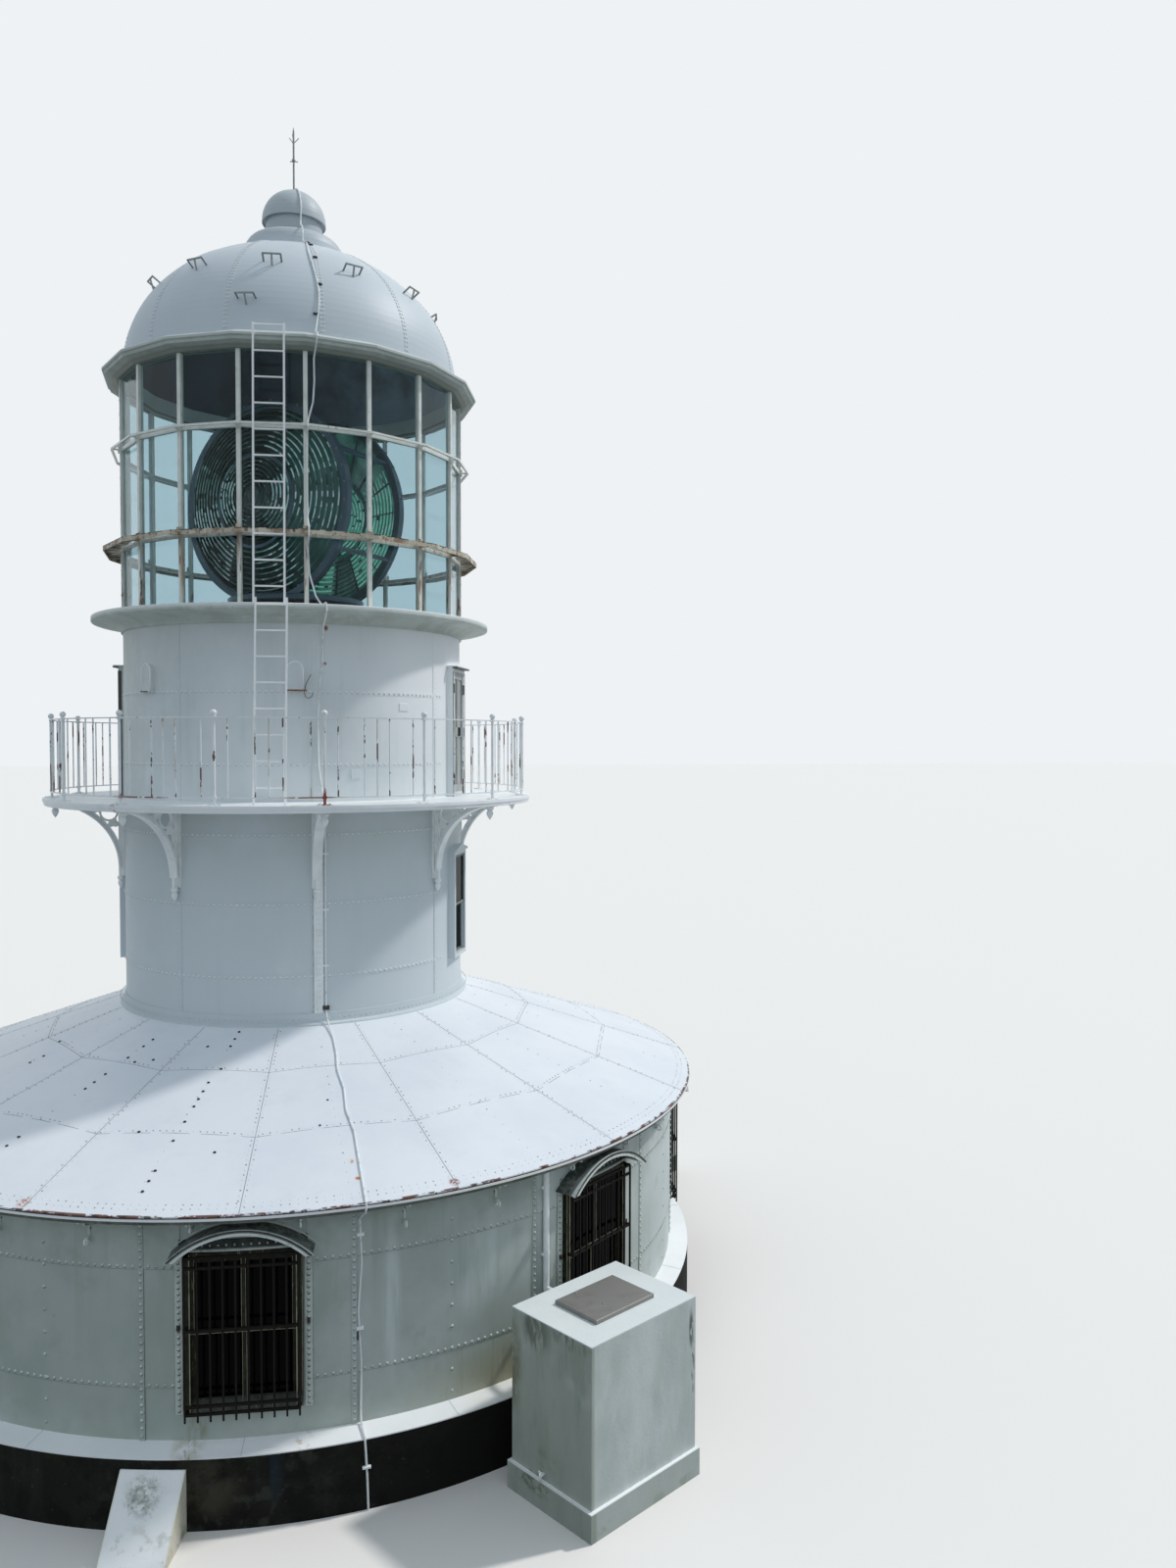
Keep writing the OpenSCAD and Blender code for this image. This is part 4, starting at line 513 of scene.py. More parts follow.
def grille():
    """Forged iron bars, dark and dry with old rust, and a few flakes of pale paint."""
    return weathered("rusted_forged_bar", "#151210", 0.75, [
        coat("#241b17", 60, 0.52, 0.66, 0.7), coat("#0b0a0a", 35, 0.5, 0.64, 0.7),
        coat("#77736a", 18, 0.67, 0.73, 0.7),
    ], [(7, 0.5)], Specular_IOR_Level=0.15)


def door():
    """Grey paint on the panelled doors, rubbed darker at the rails."""
    return weathered("grey_paint_on_panelled_door", "#a4a8a6", 0.5, [
        coat("#8c918e", 200, 0.42, 0.7, 0.75, run=0.4), coat("#6f736f", 50, 0.6, 0.74, 0.5),
        coat("#c0c4c2", 300, 0.5, 0.75, 0.5),
    ], [(10, 0.3, 0.1)])


def grey_frame():
    """Dark grey paint on the tower's window sashes, rubbed light along the bars."""
    return weathered("dark_grey_paint_on_sash", "#5d6663", 0.48, [
        coat("#414947", 140, 0.45, 0.66, 0.8), coat("#a9b0ad", 60, 0.60, 0.70, 0.7),
        coat("#74654f", 26, 0.68, 0.75, 0.6),
    ], [(12, 0.3, 0.2)])


def floor():
    """Chequer floor plate painted grey and polished by boots."""
    return weathered("painted_chequer_plate", "#6f7471", 0.5, [
        coat("#55595a", 260, 0.42, 0.68, 0.7), coat("#8b8f8c", 60, 0.6, 0.72, 0.5, rough=0.35),
    ], [(28, 1.2)], Metallic=0.2)


def lining():
    """Slate paint on the dome's inner lining, which gives the upper panes their dark look."""
    return weathered("slate_paint_on_lining", "#3b4d5b", 0.6, [
        coat("#222f3a", 900, 0.42, 0.66, 0.85), coat("#4d5f6d", 500, 0.55, 0.75, 0.5),
        # Painted light: the lining is paler toward the right.
        coat("#a3b5c2", 900, 0.2, 0.6, 0.9, where=((sideways(0), -0.6, 1.7),)),
    ], [(300, 2)])


def zinc():
    """Hot dipped zinc on steel: grey with a soft crystal mottle, dulled by salt air."""
    return weathered("hot_dipped_zinc", "#8e9494", 0.5, [
        coat("#6d7272", 18, 0.45, 0.6, 0.6), coat("#a9aeac", 30, 0.55, 0.7, 0.5),
        coat("#5d5146", 40, 0.62, 0.72, 0.6, rough=0.8),
    ], [(10, 0.2)], Metallic=0.55)


def sheath():
    """White painted cable sheath, greyed, with dirt on its under side."""
    return weathered("painted_cable_sheath", "#eef1f1", 0.5, [
        coat("#c2c8c8", 110, 0.50, 0.68, 0.7), coat("#6f7471", 30, 0.66, 0.74, 0.6),
    ], [(8, 0.4)])


def lap():
    """Old sealant and dirt in the lap joints of the house plates, drawn 8 mm wide so that it shows; also the
    dirt and painted shadow below each house rivet.
    """
    return weathered("dirt_in_laps_and_painted_shadow_below_rivets", "#7f8887", 0.7, [
        coat("#5b6463", 120, 0.45, 0.62, 0.7), coat("#a5adab", 80, 0.52, 0.66, 0.7),
    ], [(10, 0.3)])


def seam():
    """Filled lap joints of the roof sheets: a fine grey line, browner where water stands."""
    return weathered("filler_in_roof_seam", "#8d9299", 0.6, [
        coat("#6c6a6a", 260, 0.46, 0.62, 0.7), coat("#b4bac0", 200, 0.56, 0.68, 0.6),
    ], [(10, 0.3)])


def dull():
    """Painted rivets that hold dust and a thread of rust round their heads."""
    return weathered("dusty_painted_rivet", "#a3a39f", 0.6, [
        coat("#7c7872", 90, 0.44, 0.6, 0.8), coat("#8a6a52", 40, 0.62, 0.7, 0.7),
    ], [(4, 0.3)])


def bare():
    """Rivet heads that have lost their paint: nearly black scale with a little brown."""
    return weathered("scaled_bare_rivet", "#1f1c1b", 0.75, [
        coat("#4a3226", 14, 0.5, 0.62, 0.7),
    ], [(4, 0.4)])


def black():
    """Black enamel on small fittings: hinges, clips and straps; on the gallery door frames it is painted
    shadow.
    """
    return weathered("black_enamel_and_painted_shadow_on_fittings", "#232426", 0.42, [
        coat("#4c4a46", 20, 0.58, 0.7, 0.5, rough=0.7),
    ], [(6, 0.3)])


def stainless():
    """Folded stainless steel of the tank lids, dulled warm grey by salt, and brighter where it is rubbed."""
    return weathered("dulled_stainless_lid", "#8b8985", 0.5, [
        coat("#767470", 260, 0.45, 0.7, 0.6, rough=0.6),
        coat("#a3a19c", 120, 0.58, 0.72, 0.5, run=(0.1, 1, 1)),
    ], [(4, 0.1, (0.05, 1, 1))], Metallic=0.3)


def window():
    """Old drawn window glass, painted green black as painted shade for the dark room behind it, with a slow
    ripple in what it mirrors.
    """
    return weathered("old_drawn_window_glass", "#050607", 0.05, [], [(260, 2.0)],
                     Transmission_Weight=0.1, IOR=1.2, Specular_IOR_Level=0.1)


def pane():
    """Clear plate glass of the lantern, faintly blue green and filmed with salt."""
    return weathered("clear_lantern_plate_glass", "#cddfe4", 0.0, [], [(700, 0.8)],
                     Transmission_Weight=1.0, IOR=1.2, Specular_IOR_Level=0.5)


def prism():
    """Cut crown glass of the lens rings: nearly black green from outside, and painted a lit sea green on
    faces that look inward: painted light.
    """
    finish, tree, surface = new_finish("cut_crown_lens_glass", "#12302a", 0.05,
                                       Transmission_Weight=0.25, IOR=1.52, Specular_IOR_Level=0.5)
    spots = add(tree, "TexCoord").outputs
    out, side = around(1, lens_a), sideways(lens_a)
    valve, faces, across = [
        add(tree, "VectorMath", {0: spots[spot], 1: way}, operation="DOT_PRODUCT").outputs["Value"]
        for spot, way in (("Object", out), ("Normal", out), ("Object", side))]
    outward = add(tree, "Math", {0: valve, 1: faces}, operation="MULTIPLY").outputs[0]
    outward = add(tree, "MapRange", {"Value": outward, "From Min": -0.05, "From Max": 0.05}).outputs[0]
    patch = add(tree, "TexNoise", {"Vector": spots["Object"], "Scale": 1000 / 330, "Detail": 3}).outputs[0]
    deep, lit = [add(tree, "MapRange", {"Value": value, "From Min": low, "From Max": high},
                     interpolation_type="SMOOTHSTEP").outputs[0]
                 for value, low, high in ((patch, 0.4, 0.62), (across, 0.0, 1.0))]
    dark, pale = [
        add(tree, "Mix", {"Factor": deep, 6: linear(low), 7: linear(high)}, data_type="RGBA").outputs[2]
        for low, high in (("#081512", "#12302a"), ("#5aa592", "#b6ecdc"))]
    # Painted light: the outer faces grow lighter toward the right.
    dark = add(tree, "Mix", {"Factor": lit, 6: dark, 7: linear("#35685f")}, data_type="RGBA").outputs[2]
    # Painted light: faces that look inward take the pale sea green.
    tint = add(tree, "Mix", {"Factor": outward, 6: pale, 7: dark}, data_type="RGBA").outputs[2]
    tree.links.new(tint, surface.inputs["Base Color"])
    return finish


def edge():
    """Painted reflections on the edges of the lens rings, some 17 mm wide: even grey green arcs with a little
    painted sparkle.
    """
    return weathered("painted_reflection_on_outer_ring_edge", "#6f968a", 0.12, [
        coat("#35584e", 300, 0.50, 0.62, 0.85, detail=2),
        coat("#c5e6dc", 160, 0.60, 0.68, 0.9, rough=0.06, detail=2),
        # Painted shade: darker at the top of the lens.
        coat("#10201d", 500, 0.1, 0.4, 0.85, where=(("z", 11.5, 11.9),)),
    ], [], Specular_IOR_Level=0.7, Coat_Weight=0.5, Coat_Roughness=0.05)


def glint():
    """Ring edges that catch the sky: white with a green cast, broken by dark flashes."""
    return weathered("glinting_outer_ring_edge", "#d4f0e6", 0.08, [
        coat("#ffffff", 160, 0.46, 0.56, 0.95, detail=2), coat("#4d8674", 130, 0.54, 0.60, 0.9, detail=2),
        # Painted shade: darker at the top of the lens.
        coat("#10201d", 500, 0.1, 0.4, 0.85, where=(("z", 11.5, 11.9),)),
    ], [], Specular_IOR_Level=0.8, Coat_Weight=1.0, Coat_Roughness=0.03)


def dim_edge():
    """Ring edges that look into the dark inside of the lens."""
    return weathered("dark_outer_ring_edge", "#22403a", 0.12, [
        coat("#3f665b", 200, 0.56, 0.66, 0.8, detail=2),
    ], [], Specular_IOR_Level=0.5)


def inner_edge():
    """Inner edges of the lens rings with daylight behind them: sea green, with arcs that are nearly white,
    and a faint glow that is painted light.
    """
    return weathered("daylit_inner_ring_edge", "#76d9b6", 0.12, [
        coat("#a6ead2", 420, 0.42, 0.54, 0.95, detail=2), coat("#ffffff", 240, 0.52, 0.58, 0.95, detail=2),
        coat("#1d5546", 260, 0.60, 0.68, 0.85, detail=2),
    # Painted light: the edges glow faintly sea green.
    ], [], Specular_IOR_Level=0.6, Emission_Color=linear("#9be8d2"), Emission_Strength=0.28)


def ladder():
    """Fresh white gloss on the ladders' iron bar, hardly chipped: the brightest paint on the tower."""
    return weathered("fresh_paint_on_ladder_bar", "#fcfdfd", 0.3, [
        coat("#eceff0", 160, 0.45, 0.7, 0.6), coat("#9a8a78", 24, 0.70, 0.76, 0.6, rough=0.8),
    ], [(12, 0.4)], Specular_IOR_Level=1.0, Coat_Weight=1.0, Coat_Roughness=0.15, Sheen_Weight=0.6)


def surround():
    """White paint on the riveted iron surrounds of the house windows, greyed and water stained."""
    return weathered("greyed_paint_on_window_surround", "#c6cdc5", 0.5, [
        coat("#a3aba3", 140, 0.42, 0.68, 0.7, run=0.3), coat("#d9ddd9", 90, 0.54, 0.70, 0.6),
        coat("#7c7a60", 60, 0.60, 0.72, 0.55, run=0.3), coat("#54402c", 18, 0.68, 0.74, 0.7, rough=0.85),
    ], [(30, 0.4)])


def hood():
    """Paint on the window hoods' sheet: white along the lip, black with mould behind it."""
    return weathered("mouldy_paint_on_hood_sheet", "#dfe3e1", 0.5, [
        coat("#c3cac7", 220, 0.42, 0.66, 0.6),
        coat("#59615c", 300, 0.12, 0.42, 0.92, where=(("r", house_r + 0.236, house_r + 0.228),)),
        coat("#2b302d", 90, 0.38, 0.56, 0.85, where=(("r", house_r + 0.232, house_r + 0.16),)),
        coat("#8b9188", 50, 0.60, 0.70, 0.6),
    ], [(60, 0.5)])


def worn_edge():
    """Pale olive on the edges of the frames and sashes: a painted highlight."""
    return weathered("painted_highlight_on_sash_edge", "#a8a78f", 0.5, [
        coat("#4a4937", 120, 0.52, 0.64, 0.8, run=0.4), coat("#cfcebb", 60, 0.58, 0.68, 0.7, run=0.3),
    ], [(8, 0.3, 0.1)])


def head():
    """The heads of the house rivets, painted paler than the plates between them as a painted highlight."""
    return weathered("painted_highlight_on_rivet_head", "#d3dad6", 0.45, [
        coat("#a9b2ad", 300, 0.45, 0.65, 0.8),
    ], [(6, 0.2)])


def eave():
    """The eave ring's paint in lasting shade, painted a dark grey green for that shade, with mould in patches
    and drips.
    """
    return weathered("mould_and_painted_shade_on_eave_ring", "#6e7169", 0.7, [
        coat("#4f534c", 240, 0.42, 0.66, 0.8, run=0.3), coat("#8b9089", 160, 0.54, 0.70, 0.7),
        coat("#3a3e39", 50, 0.62, 0.72, 0.6),
    ], [(30, 0.6)], Specular_IOR_Level=0.3)


def algae():
    """Dust and algae caught round the rivets of the house plates."""
    return weathered("algae_round_rivets", "#959e99", 0.7, [
        coat("#76807a", 60, 0.45, 0.62, 0.7), coat("#b3bab6", 50, 0.52, 0.66, 0.6),
    ], [(10, 0.3)])


def rust():
    """Orange brown rust on the drip ledge of the front vent, and dark wire beside it."""
    return weathered("rust_on_drip_ledge", "#9a6a4c", 0.85, [
        coat("#5d3a28", 30, 0.45, 0.6, 0.8), coat("#c6a588", 50, 0.58, 0.68, 0.7),
    ], [(8, 0.5)])


def grime():
    """Sooty paint in the shelter of the hoods and the eave, furred with mould and darkened as painted shade.
    """
    return weathered("mould_and_painted_shade_under_hoods", "#434944", 0.75, [
        coat("#272b28", 90, 0.42, 0.62, 0.8), coat("#6f766f", 120, 0.55, 0.7, 0.5),
    ], [(20, 0.8)], Specular_IOR_Level=0.2)


def dust():
    """Thin dust that settles round the rivets of the clean plates, set below each head so that it is also a
    painted shadow.
    """
    return weathered("dust_and_painted_shadow_round_rivets", "#c6cdce", 0.7, [
        coat("#a9b1b3", 60, 0.45, 0.62, 0.7),
    ], [(10, 0.3)])


def lens():
    """Dark slate enamel on the lens carriage and rims, semi gloss."""
    return weathered("slate_enamel_on_lens_frame", "#465968", 0.4, [
        coat("#37464f", 260, 0.42, 0.7, 0.7), coat("#62757f", 90, 0.6, 0.74, 0.4),
    ], [(20, 0.3)], Coat_Weight=0.2)


finishes = dict(
    concrete=concrete(), steps=steps(), render=render(), block=block(), house=house(), ledge=ledge(),
    roof=roof(), tower=tower(), deck=deck(), casting=casting(), rail=rail(), baluster=baluster(),
    lantern=lantern(), sheltered=sheltered(), walkway=walkway(), sash=sash(), grille=grille(),
    door=door(), grey_frame=grey_frame(), floor=floor(), lining=lining(), zinc=zinc(), sheath=sheath(),
    lap=lap(), seam=seam(), dull=dull(), bare=bare(), black=black(), stainless=stainless(),
    window=window(), pane=pane(), prism=prism(), edge=edge(), glint=glint(), dim_edge=dim_edge(),
    inner_edge=inner_edge(), ladder=ladder(), surround=surround(), hood=hood(), worn_edge=worn_edge(),
    head=head(), eave=eave(), algae=algae(), rust=rust(), grime=grime(), dust=dust(), lens=lens(),
)

worn_by = {
    "concrete": "base", "steps": "house_steps", "render": "water_tanks", "block": "sloping_block",
    "house": "house_wall_front house_wall_right house_wall_back house_wall_left", "hood": "window_hoods",
    "ledge": "ledge", "roof": "cone_roof", "eave": "eave_ring", "surround": "eave_brackets",
    "tower": "tower_wall roof_curb watch_wall wall_vents dome ventilator "
             "tower_window_frames gallery_door_frames",
    "deck": "gallery_deck gallery_rim", "casting": "gallery_brackets downpipes",
    "rail": "railing_posts railing_rails", "baluster": "railing_balusters", "ladder": "ladders",
    "lantern": "lantern_sill lantern_mullions lantern_transoms lantern_handrail",
    "sheltered": "lantern_eave cornice", "walkway": "catwalk",
    "sash": "house_window_frames house_sashes house_door", "grille": "window_grilles",
    "door": "gallery_doors",
    "grey_frame": "tower_sashes", "floor": "lantern_floor", "lining": "dome_lining",
    "zinc": "lightning_rod dome_handholds", "sheath": "conductor", "window": "house_glass tower_glass",
    "pane": "lantern_glass", "prism": "lens_prisms", "lens": "lens_frame lens_ties lens_table lens_pedestal",
}
for finish_name, members in worn_by.items():
    for member in members.split():
        nodes[member].data.materials.clear()
        nodes[member].data.materials.append(finishes[finish_name])


# Mesh tools

class Maker:
    """Collects the points and faces of one joined piece."""

    def __init__(self, name, slot, looks, body="root"):
        self.name, self.slot, self.looks, self.body = name, slot, looks, body
        self.points, self.faces, self.paint, self.round = [], [], [], []

    def put(self, points, faces, paint=0, smooth=False):
        start = len(self.points)
        self.points += [tuple(p) for p in points]
        self.faces += [[start + i for i in face] for face in faces]
        self.paint += [paint] * len(faces)
        self.round += [smooth] * len(faces)

    def finish(self):
        mesh = bpy.data.meshes.new(self.name)
        mesh.from_pydata(self.points, [], self.faces)
        for look in self.looks:
            mesh.materials.append(finishes[look])
        mesh.polygons.foreach_set("material_index", self.paint)
        mesh.polygons.foreach_set("use_smooth", self.round)
        mesh.update()
        piece = bpy.data.objects.new(self.name, mesh)
        bpy.context.scene.collection.objects.link(piece)
        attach(piece, self.body)


def facing(point, normal):
    """A turned frame at a point, with Z along the normal and Y as near to upright as it can be."""
    side = up(1).cross(normal)
    side = side.normalized() if side.length > 1e-4 else Vector((1, 0, 0))
    turn = Matrix((side, normal.cross(side), normal)).transposed().to_4x4()
    turn.translation = point
    return turn


def turns(count):
    return [2 * pi * k / count for k in range(count)]


def loft(maker, points, sides, paint=0, closed=False, smooth=False):
    """A closed skin over sections of a few points each."""
    count = len(points) // sides
    faces = []
    for i in range(count if closed else count - 1):
        a, b = sides * i, sides * ((i + 1) % count)
        faces += [[a + k, a + (k + 1) % sides, b + (k + 1) % sides, b + k] for k in range(sides)]
    if not closed:
        faces += [list(range(sides))[::-1], [sides * (count - 1) + k for k in range(sides)]]
    maker.put(points, faces, paint, smooth)


def rivet(maker, point, normal, size, paint=0, sides=8, grime=None):
    """A snap head rivet of a given diameter, and a dark patch set below it: dirt and painted shadow."""
    turn = facing(point, normal)
    half = size / 2
    points = [turn @ Vector((half * ring * cos(a), half * ring * sin(a), height * half))
              for ring, height in ((1.0, -0.08), (0.86, 0.45)) for a in turns(sides)]
    faces = [[k, (k + 1) % sides, sides + (k + 1) % sides, sides + k] for k in range(sides)]
    faces += [[sides + k, sides + (k + 1) % sides, 2 * sides] for k in range(sides)]
    maker.put(points + [turn @ up(0.82 * half)], faces, paint, True)
    if grime is not None:
        # Painted shadow and dirt: a patch shifted down below the head.
        points = [turn @ Vector((half * 1.1 * cos(a), half * (1.15 * sin(a) - 0.55), 0.0006))
                  for a in turns(sides)]
        maker.put(points, [list(range(sides))], grime)


def stud(maker, radius, angle, z, size, paint=0, sides=6, grime=None):
    """A rivet on a round wall."""
    rivet(maker, around(radius, angle, z), around(1, angle), size, paint, sides, grime)


def slab(maker, turn, size, paint=0, bevel=0.0):
    """A plate or block on a turned frame, its back on the frame's plane, with its front edges eased."""
    w, h, t = size[0] / 2, size[1] / 2, size[2]
    b = min(bevel, w * 0.9, h * 0.9, t * 0.9)
    layers = [(w, h, 0.0), (w, h, t - b), (w - b, h - b, t)] if b else [(w, h, 0.0), (w, h, t)]
    corners = ((-1, -1), (1, -1), (1, 1), (-1, 1))
    loft(maker, [turn @ Vector((x * a, y * c, z)) for x, y, z in layers for a, c in corners], 4, paint)


def fitting(maker, angle, u, v, z, size, paint=0, bevel=0.0):
    """A slab that faces outward, u to the right and v outward from the axis."""
    slab(maker, facing(place(angle, u, v, z), around(1, angle)), size, paint, bevel)


def heading(points, i, closed=False):
    """The way that a row of points runs at one of them."""
    ahead = points[(i + 1) % len(points)] if closed or i + 1 < len(points) else points[i]
    behind = points[i - 1] if closed or i else points[i]
    return (ahead - behind).normalized()


def strip(maker, rows, width, thick, paint=0, closed=False):
    """A flat strip along the points of a surface, each given with the way it faces."""
    line, skin = [point for point, _ in rows], []
    for i, (point, normal) in enumerate(rows):
        side = heading(line, i, closed).cross(normal).normalized() * width / 2
        lift = normal.normalized() * thick
        skin += [point - side - lift * 0.2, point + side - lift * 0.2,
                 point + side + lift, point - side + lift]
    loft(maker, skin, 4, paint, closed)


def tube(maker, points, radius, paint=0, sides=6):
    """A round bar along points."""
    across = heading(points, 0).orthogonal()
    skin = []
    for i, point in enumerate(points):
        along = heading(points, i)
        across = (across - along * across.dot(along)).normalized()
        other = along.cross(across)
        skin += [point + (across * cos(a) + other * sin(a)) * radius for a in turns(sides)]
    loft(maker, skin, sides, paint, smooth=True)


def wall_plate(maker, radius, a0, a1, z0, z1, thick, paint=0):
    """A thin rolled plate on a round wall between two angles and two heights."""
    count = max(2, int(abs(a1 - a0) / 1.5) + 2)
    low, high = radius - 0.001, radius + thick
    loft(maker, [around(r, a0 + (a1 - a0) * k / (count - 1), z) for k in range(count)
                 for r, z in ((low, z1), (high, z1), (high, z0), (low, z0))], 4, paint)


# The house wall

def house_plates(maker):
    """Each row of plates laps over the one below, and straps cover the upright joints."""
    for a in bay_angles:
        span = (a + window_half + 0.3, a + bay_step - window_half - 0.3)
        for step, z in enumerate(house_rows):
            wall_plate(maker, house_r, *span, z - 0.03, soffit - 0.02, 0.005 + 0.005 * step)
            wall_plate(maker, house_r, *span, z - 0.036, z - 0.030, 0.003 + 0.005 * step, 1)
    half = degrees(0.028 / house_r)
    for a in strap_angles:
        wall_plate(maker, house_r, a - half, a + half, ledge_top, soffit - 0.03, 0.014)
        wall_plate(maker, house_r, a + half, a + half + 0.035, ledge_top, soffit - 0.03, 0.012, 1)


def window_surrounds(maker):
    """Flat iron surrounds on both sides of each window, and the plate over its head, painted dark as mould
    and painted shade under the hood.
    """
    top = window_z[1]
    for k, middle in enumerate(bay_angles):
        foot = ledge_top if k == door_bay else window_z[0] - 0.03
        for side in (-1, 1):
            a = middle + side * (window_half + 0.05)
            b = a + side * degrees(surround_w / house_r)
            wall_plate(maker, house_r, min(a, b), max(a, b), foot, top + 0.02, 0.018)
            rim = b + side * 0.04
            wall_plate(maker, house_r, rim - 0.04, rim + 0.04, foot, top + 0.02, 0.013, 2)
            for z in spaced(foot + 0.04, top, 0.062):
                stud(maker, house_r + 0.018, (a + b) / 2, z, 0.030, 4, 8, 3)
            if k != door_bay:
                fitting(maker, (a + b) / 2, 0, house_r + 0.02, 1.9, (0.03, 0.05, 0.03), 1, 0.006)
        over = (middle - window_half - 0.4, middle + window_half + 0.4)
        # Painted shade and mould: the plate under the hood takes the dark sooty finish.
        wall_plate(maker, house_r, *over, top + 0.006, top + 0.12, 0.016, 3)
        wall_plate(maker, house_r, middle - window_half, middle + window_half, top + 0.012, top + 0.034, 0.05)
        for n in range(-7, 8):
            stud(maker, house_r + 0.016, middle + n * window_half / 7.4, top + 0.065, 0.020, 0, 8, 2)


def sash_highlight_lines(maker):
    """Fine pale lines along the edges of the frames and sashes behind the grilles: painted highlights."""
    frame_y, sash_y = house_r + 0.031, house_r + 0.001
    z0, z1 = window_z
    bar, stile = 0.055, 0.048
    half, inner, lip = window_w / 2, window_w / 2 - bar, stile / 2 - 0.003
    middle = (z0 + z1) / 2
    lines = [(x, z0 + 0.01, x, z1 - 0.01, frame_y)
             for x in (0.004 - inner, inner - 0.004, 0.004 - half, half - 0.004)]
    lines += [(-inner, z, inner, z, frame_y) for z in (z0 + bar - 0.004, z1 - bar + 0.004)]
    lines += [(x, middle, x, z1 - bar, sash_y)
              for x in (-lip, lip, stile - 0.003 - inner, inner - stile + 0.003)]
    lines += [(x, z0 + bar, x, middle - 0.03, sash_y - 0.046) for x in (-lip, lip)]
    lines += [(-inner, z, inner, z, sash_y) for z in (middle - lip, middle + lip)]
    for a in window_angles:
        for n, (x0, za, x1, zb, reach) in enumerate(lines):
            ends = (place(a, x0, reach, za), place(a, x1, reach, zb))
            strip(maker, [(p, around(1, a)) for p in ends], 0.010 if n in (0, 1, 5) else 0.004, 0.002)


def hood_lines(maker):
    """Mould and painted shade along the upper half of each hood's lip, grading to its pale lower edge, and
    the flange that holds the hood to the wall.
    """
    span, rise = 1.39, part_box("window_hoods")[1].z - window_z[1] - 0.012
    arc_r = (span * span / 4 + rise * rise) / (2 * rise)
    foot_z = window_z[1] + 0.004
    centre_z = foot_z + rise - arc_r
    front = house_r + 0.25
    # The first two bands, dark and mid grey, are mould and painted shade on the lip.
    lines = ((arc_r + 0.0005, 0.014, front), (arc_r - 0.013, 0.012, front), (arc_r + 0.022, 0.014, 0))
    for a in window_angles:
        for paint, (radius, wide, reach) in enumerate(lines):
            start = acos((foot_z + 0.004 - centre_z) / radius)
            rows = []
            for n in range(-16, 17):
                t = start * n / 16
                x, z = radius * sin(t), centre_z + radius * cos(t)
                turn = a + degrees(asin(x / house_r))
                rows.append((place(a, x, reach, z), around(1, a)) if reach else
                            (around(house_r + 0.010, turn, z), around(1, turn)))
            strip(maker, rows, wide, 0.002 if reach else 0.006, paint)


def house_rivets(maker):
    """Snap head rivets, 30 mm across, along the rows, the straps and a column in the middle of each bay."""
    margin = window_half + degrees((surround_w + 0.03) / house_r)
    for step, z in enumerate(house_rows):
        for a in ring_of(house_r, house_pitch):
            if nearest(a, bay_angles) > margin and nearest(a, strap_angles) > 0.5:
                stud(maker, house_r + 0.005 * (step + 1), a, z, 0.030, 0, 8, 2)
    for a in strap_angles:
        for k in range(int((soffit - 0.1 - ledge_top) / house_pitch)):
            stud(maker, house_r + 0.014, a, ledge_top + 0.05 + house_pitch * k, 0.032, 0, 8, 2)
    for a in bays(-28.1, bay_step):
        for k in range(10):
            z = ledge_top + 0.10 + 0.23 * k
            lift = 0.005 * sum(z >= row for row in house_rows)
            stud(maker, house_r + lift, a, z, 0.032, 0, 8, 2)


def ledge_seams(maker):
    """Radial lap joints in the sheet of the ledge."""
    slope = (ledge_top - base_top - 0.012) / (base_r - house_r)
    for a in bays(bay_a, sheet_step):
        normal = around(slope, a, 1).normalized()
        strip(maker, [(around(r, a, ledge_top - (r - house_r) * slope + 0.001), normal)
                      for r in (house_r + 0.005, base_r - 0.005)], 0.005, 0.0015)


# The cone roof

def roof_point(radius, angle):
    """A point on the roof and the way it faces."""
    return around(radius, angle, roof_height(radius)), around(roof_fall, angle, 1).normalized()


def lap_point(corner, angle, inside=0.0):
    """A point on or inside a straight lap joint between two radial seams, and the way it faces."""
    local = (angle - bay_a) % sheet_step - sheet_step / 2
    return roof_point(corner * cos(radians(sheet_step / 2)) / cos(radians(local)) - inside, angle)


def roof_joints(maker):
    """Radial and straight lap joints between the roof sheets, each a narrow raised edge."""
    for a in bays(bay_a, sheet_step):
        strip(maker, [roof_point(r, a) for r in (curb_r + 0.01, 3.3, 4.4, roof_r - 0.01)], 0.006, 0.0015)
        for corner in lap_corners:
            strip(maker, [lap_point(corner, a + t) for t in (0.02, 5.6, 11.25, 16.9, 22.48)], 0.006, 0.0015)


# Rivets without paint on the roof, by their angle and radii
bare_places = (
    (-16.9, (2.46, 2.61, 2.76, 3.47, 3.63, 3.77, 3.90, 4.16, 4.47, 4.93, 5.08, 5.23)),
    (-39.4, (2.74, 2.89, 3.13, 3.47, 3.63, 3.76, 4.64, 4.79)), (-61.9, (3.48, 3.64)), (-22.6, (2.78, 4.35)),
    (-36.4, (3.19,)), (-32.7, (3.11,)), (-16.0, (3.21,)), (-10.7, (4.65,)), (2.8, (4.30,)), (4.5, (3.87,)),
    (-66.4, (3.22,)),
)


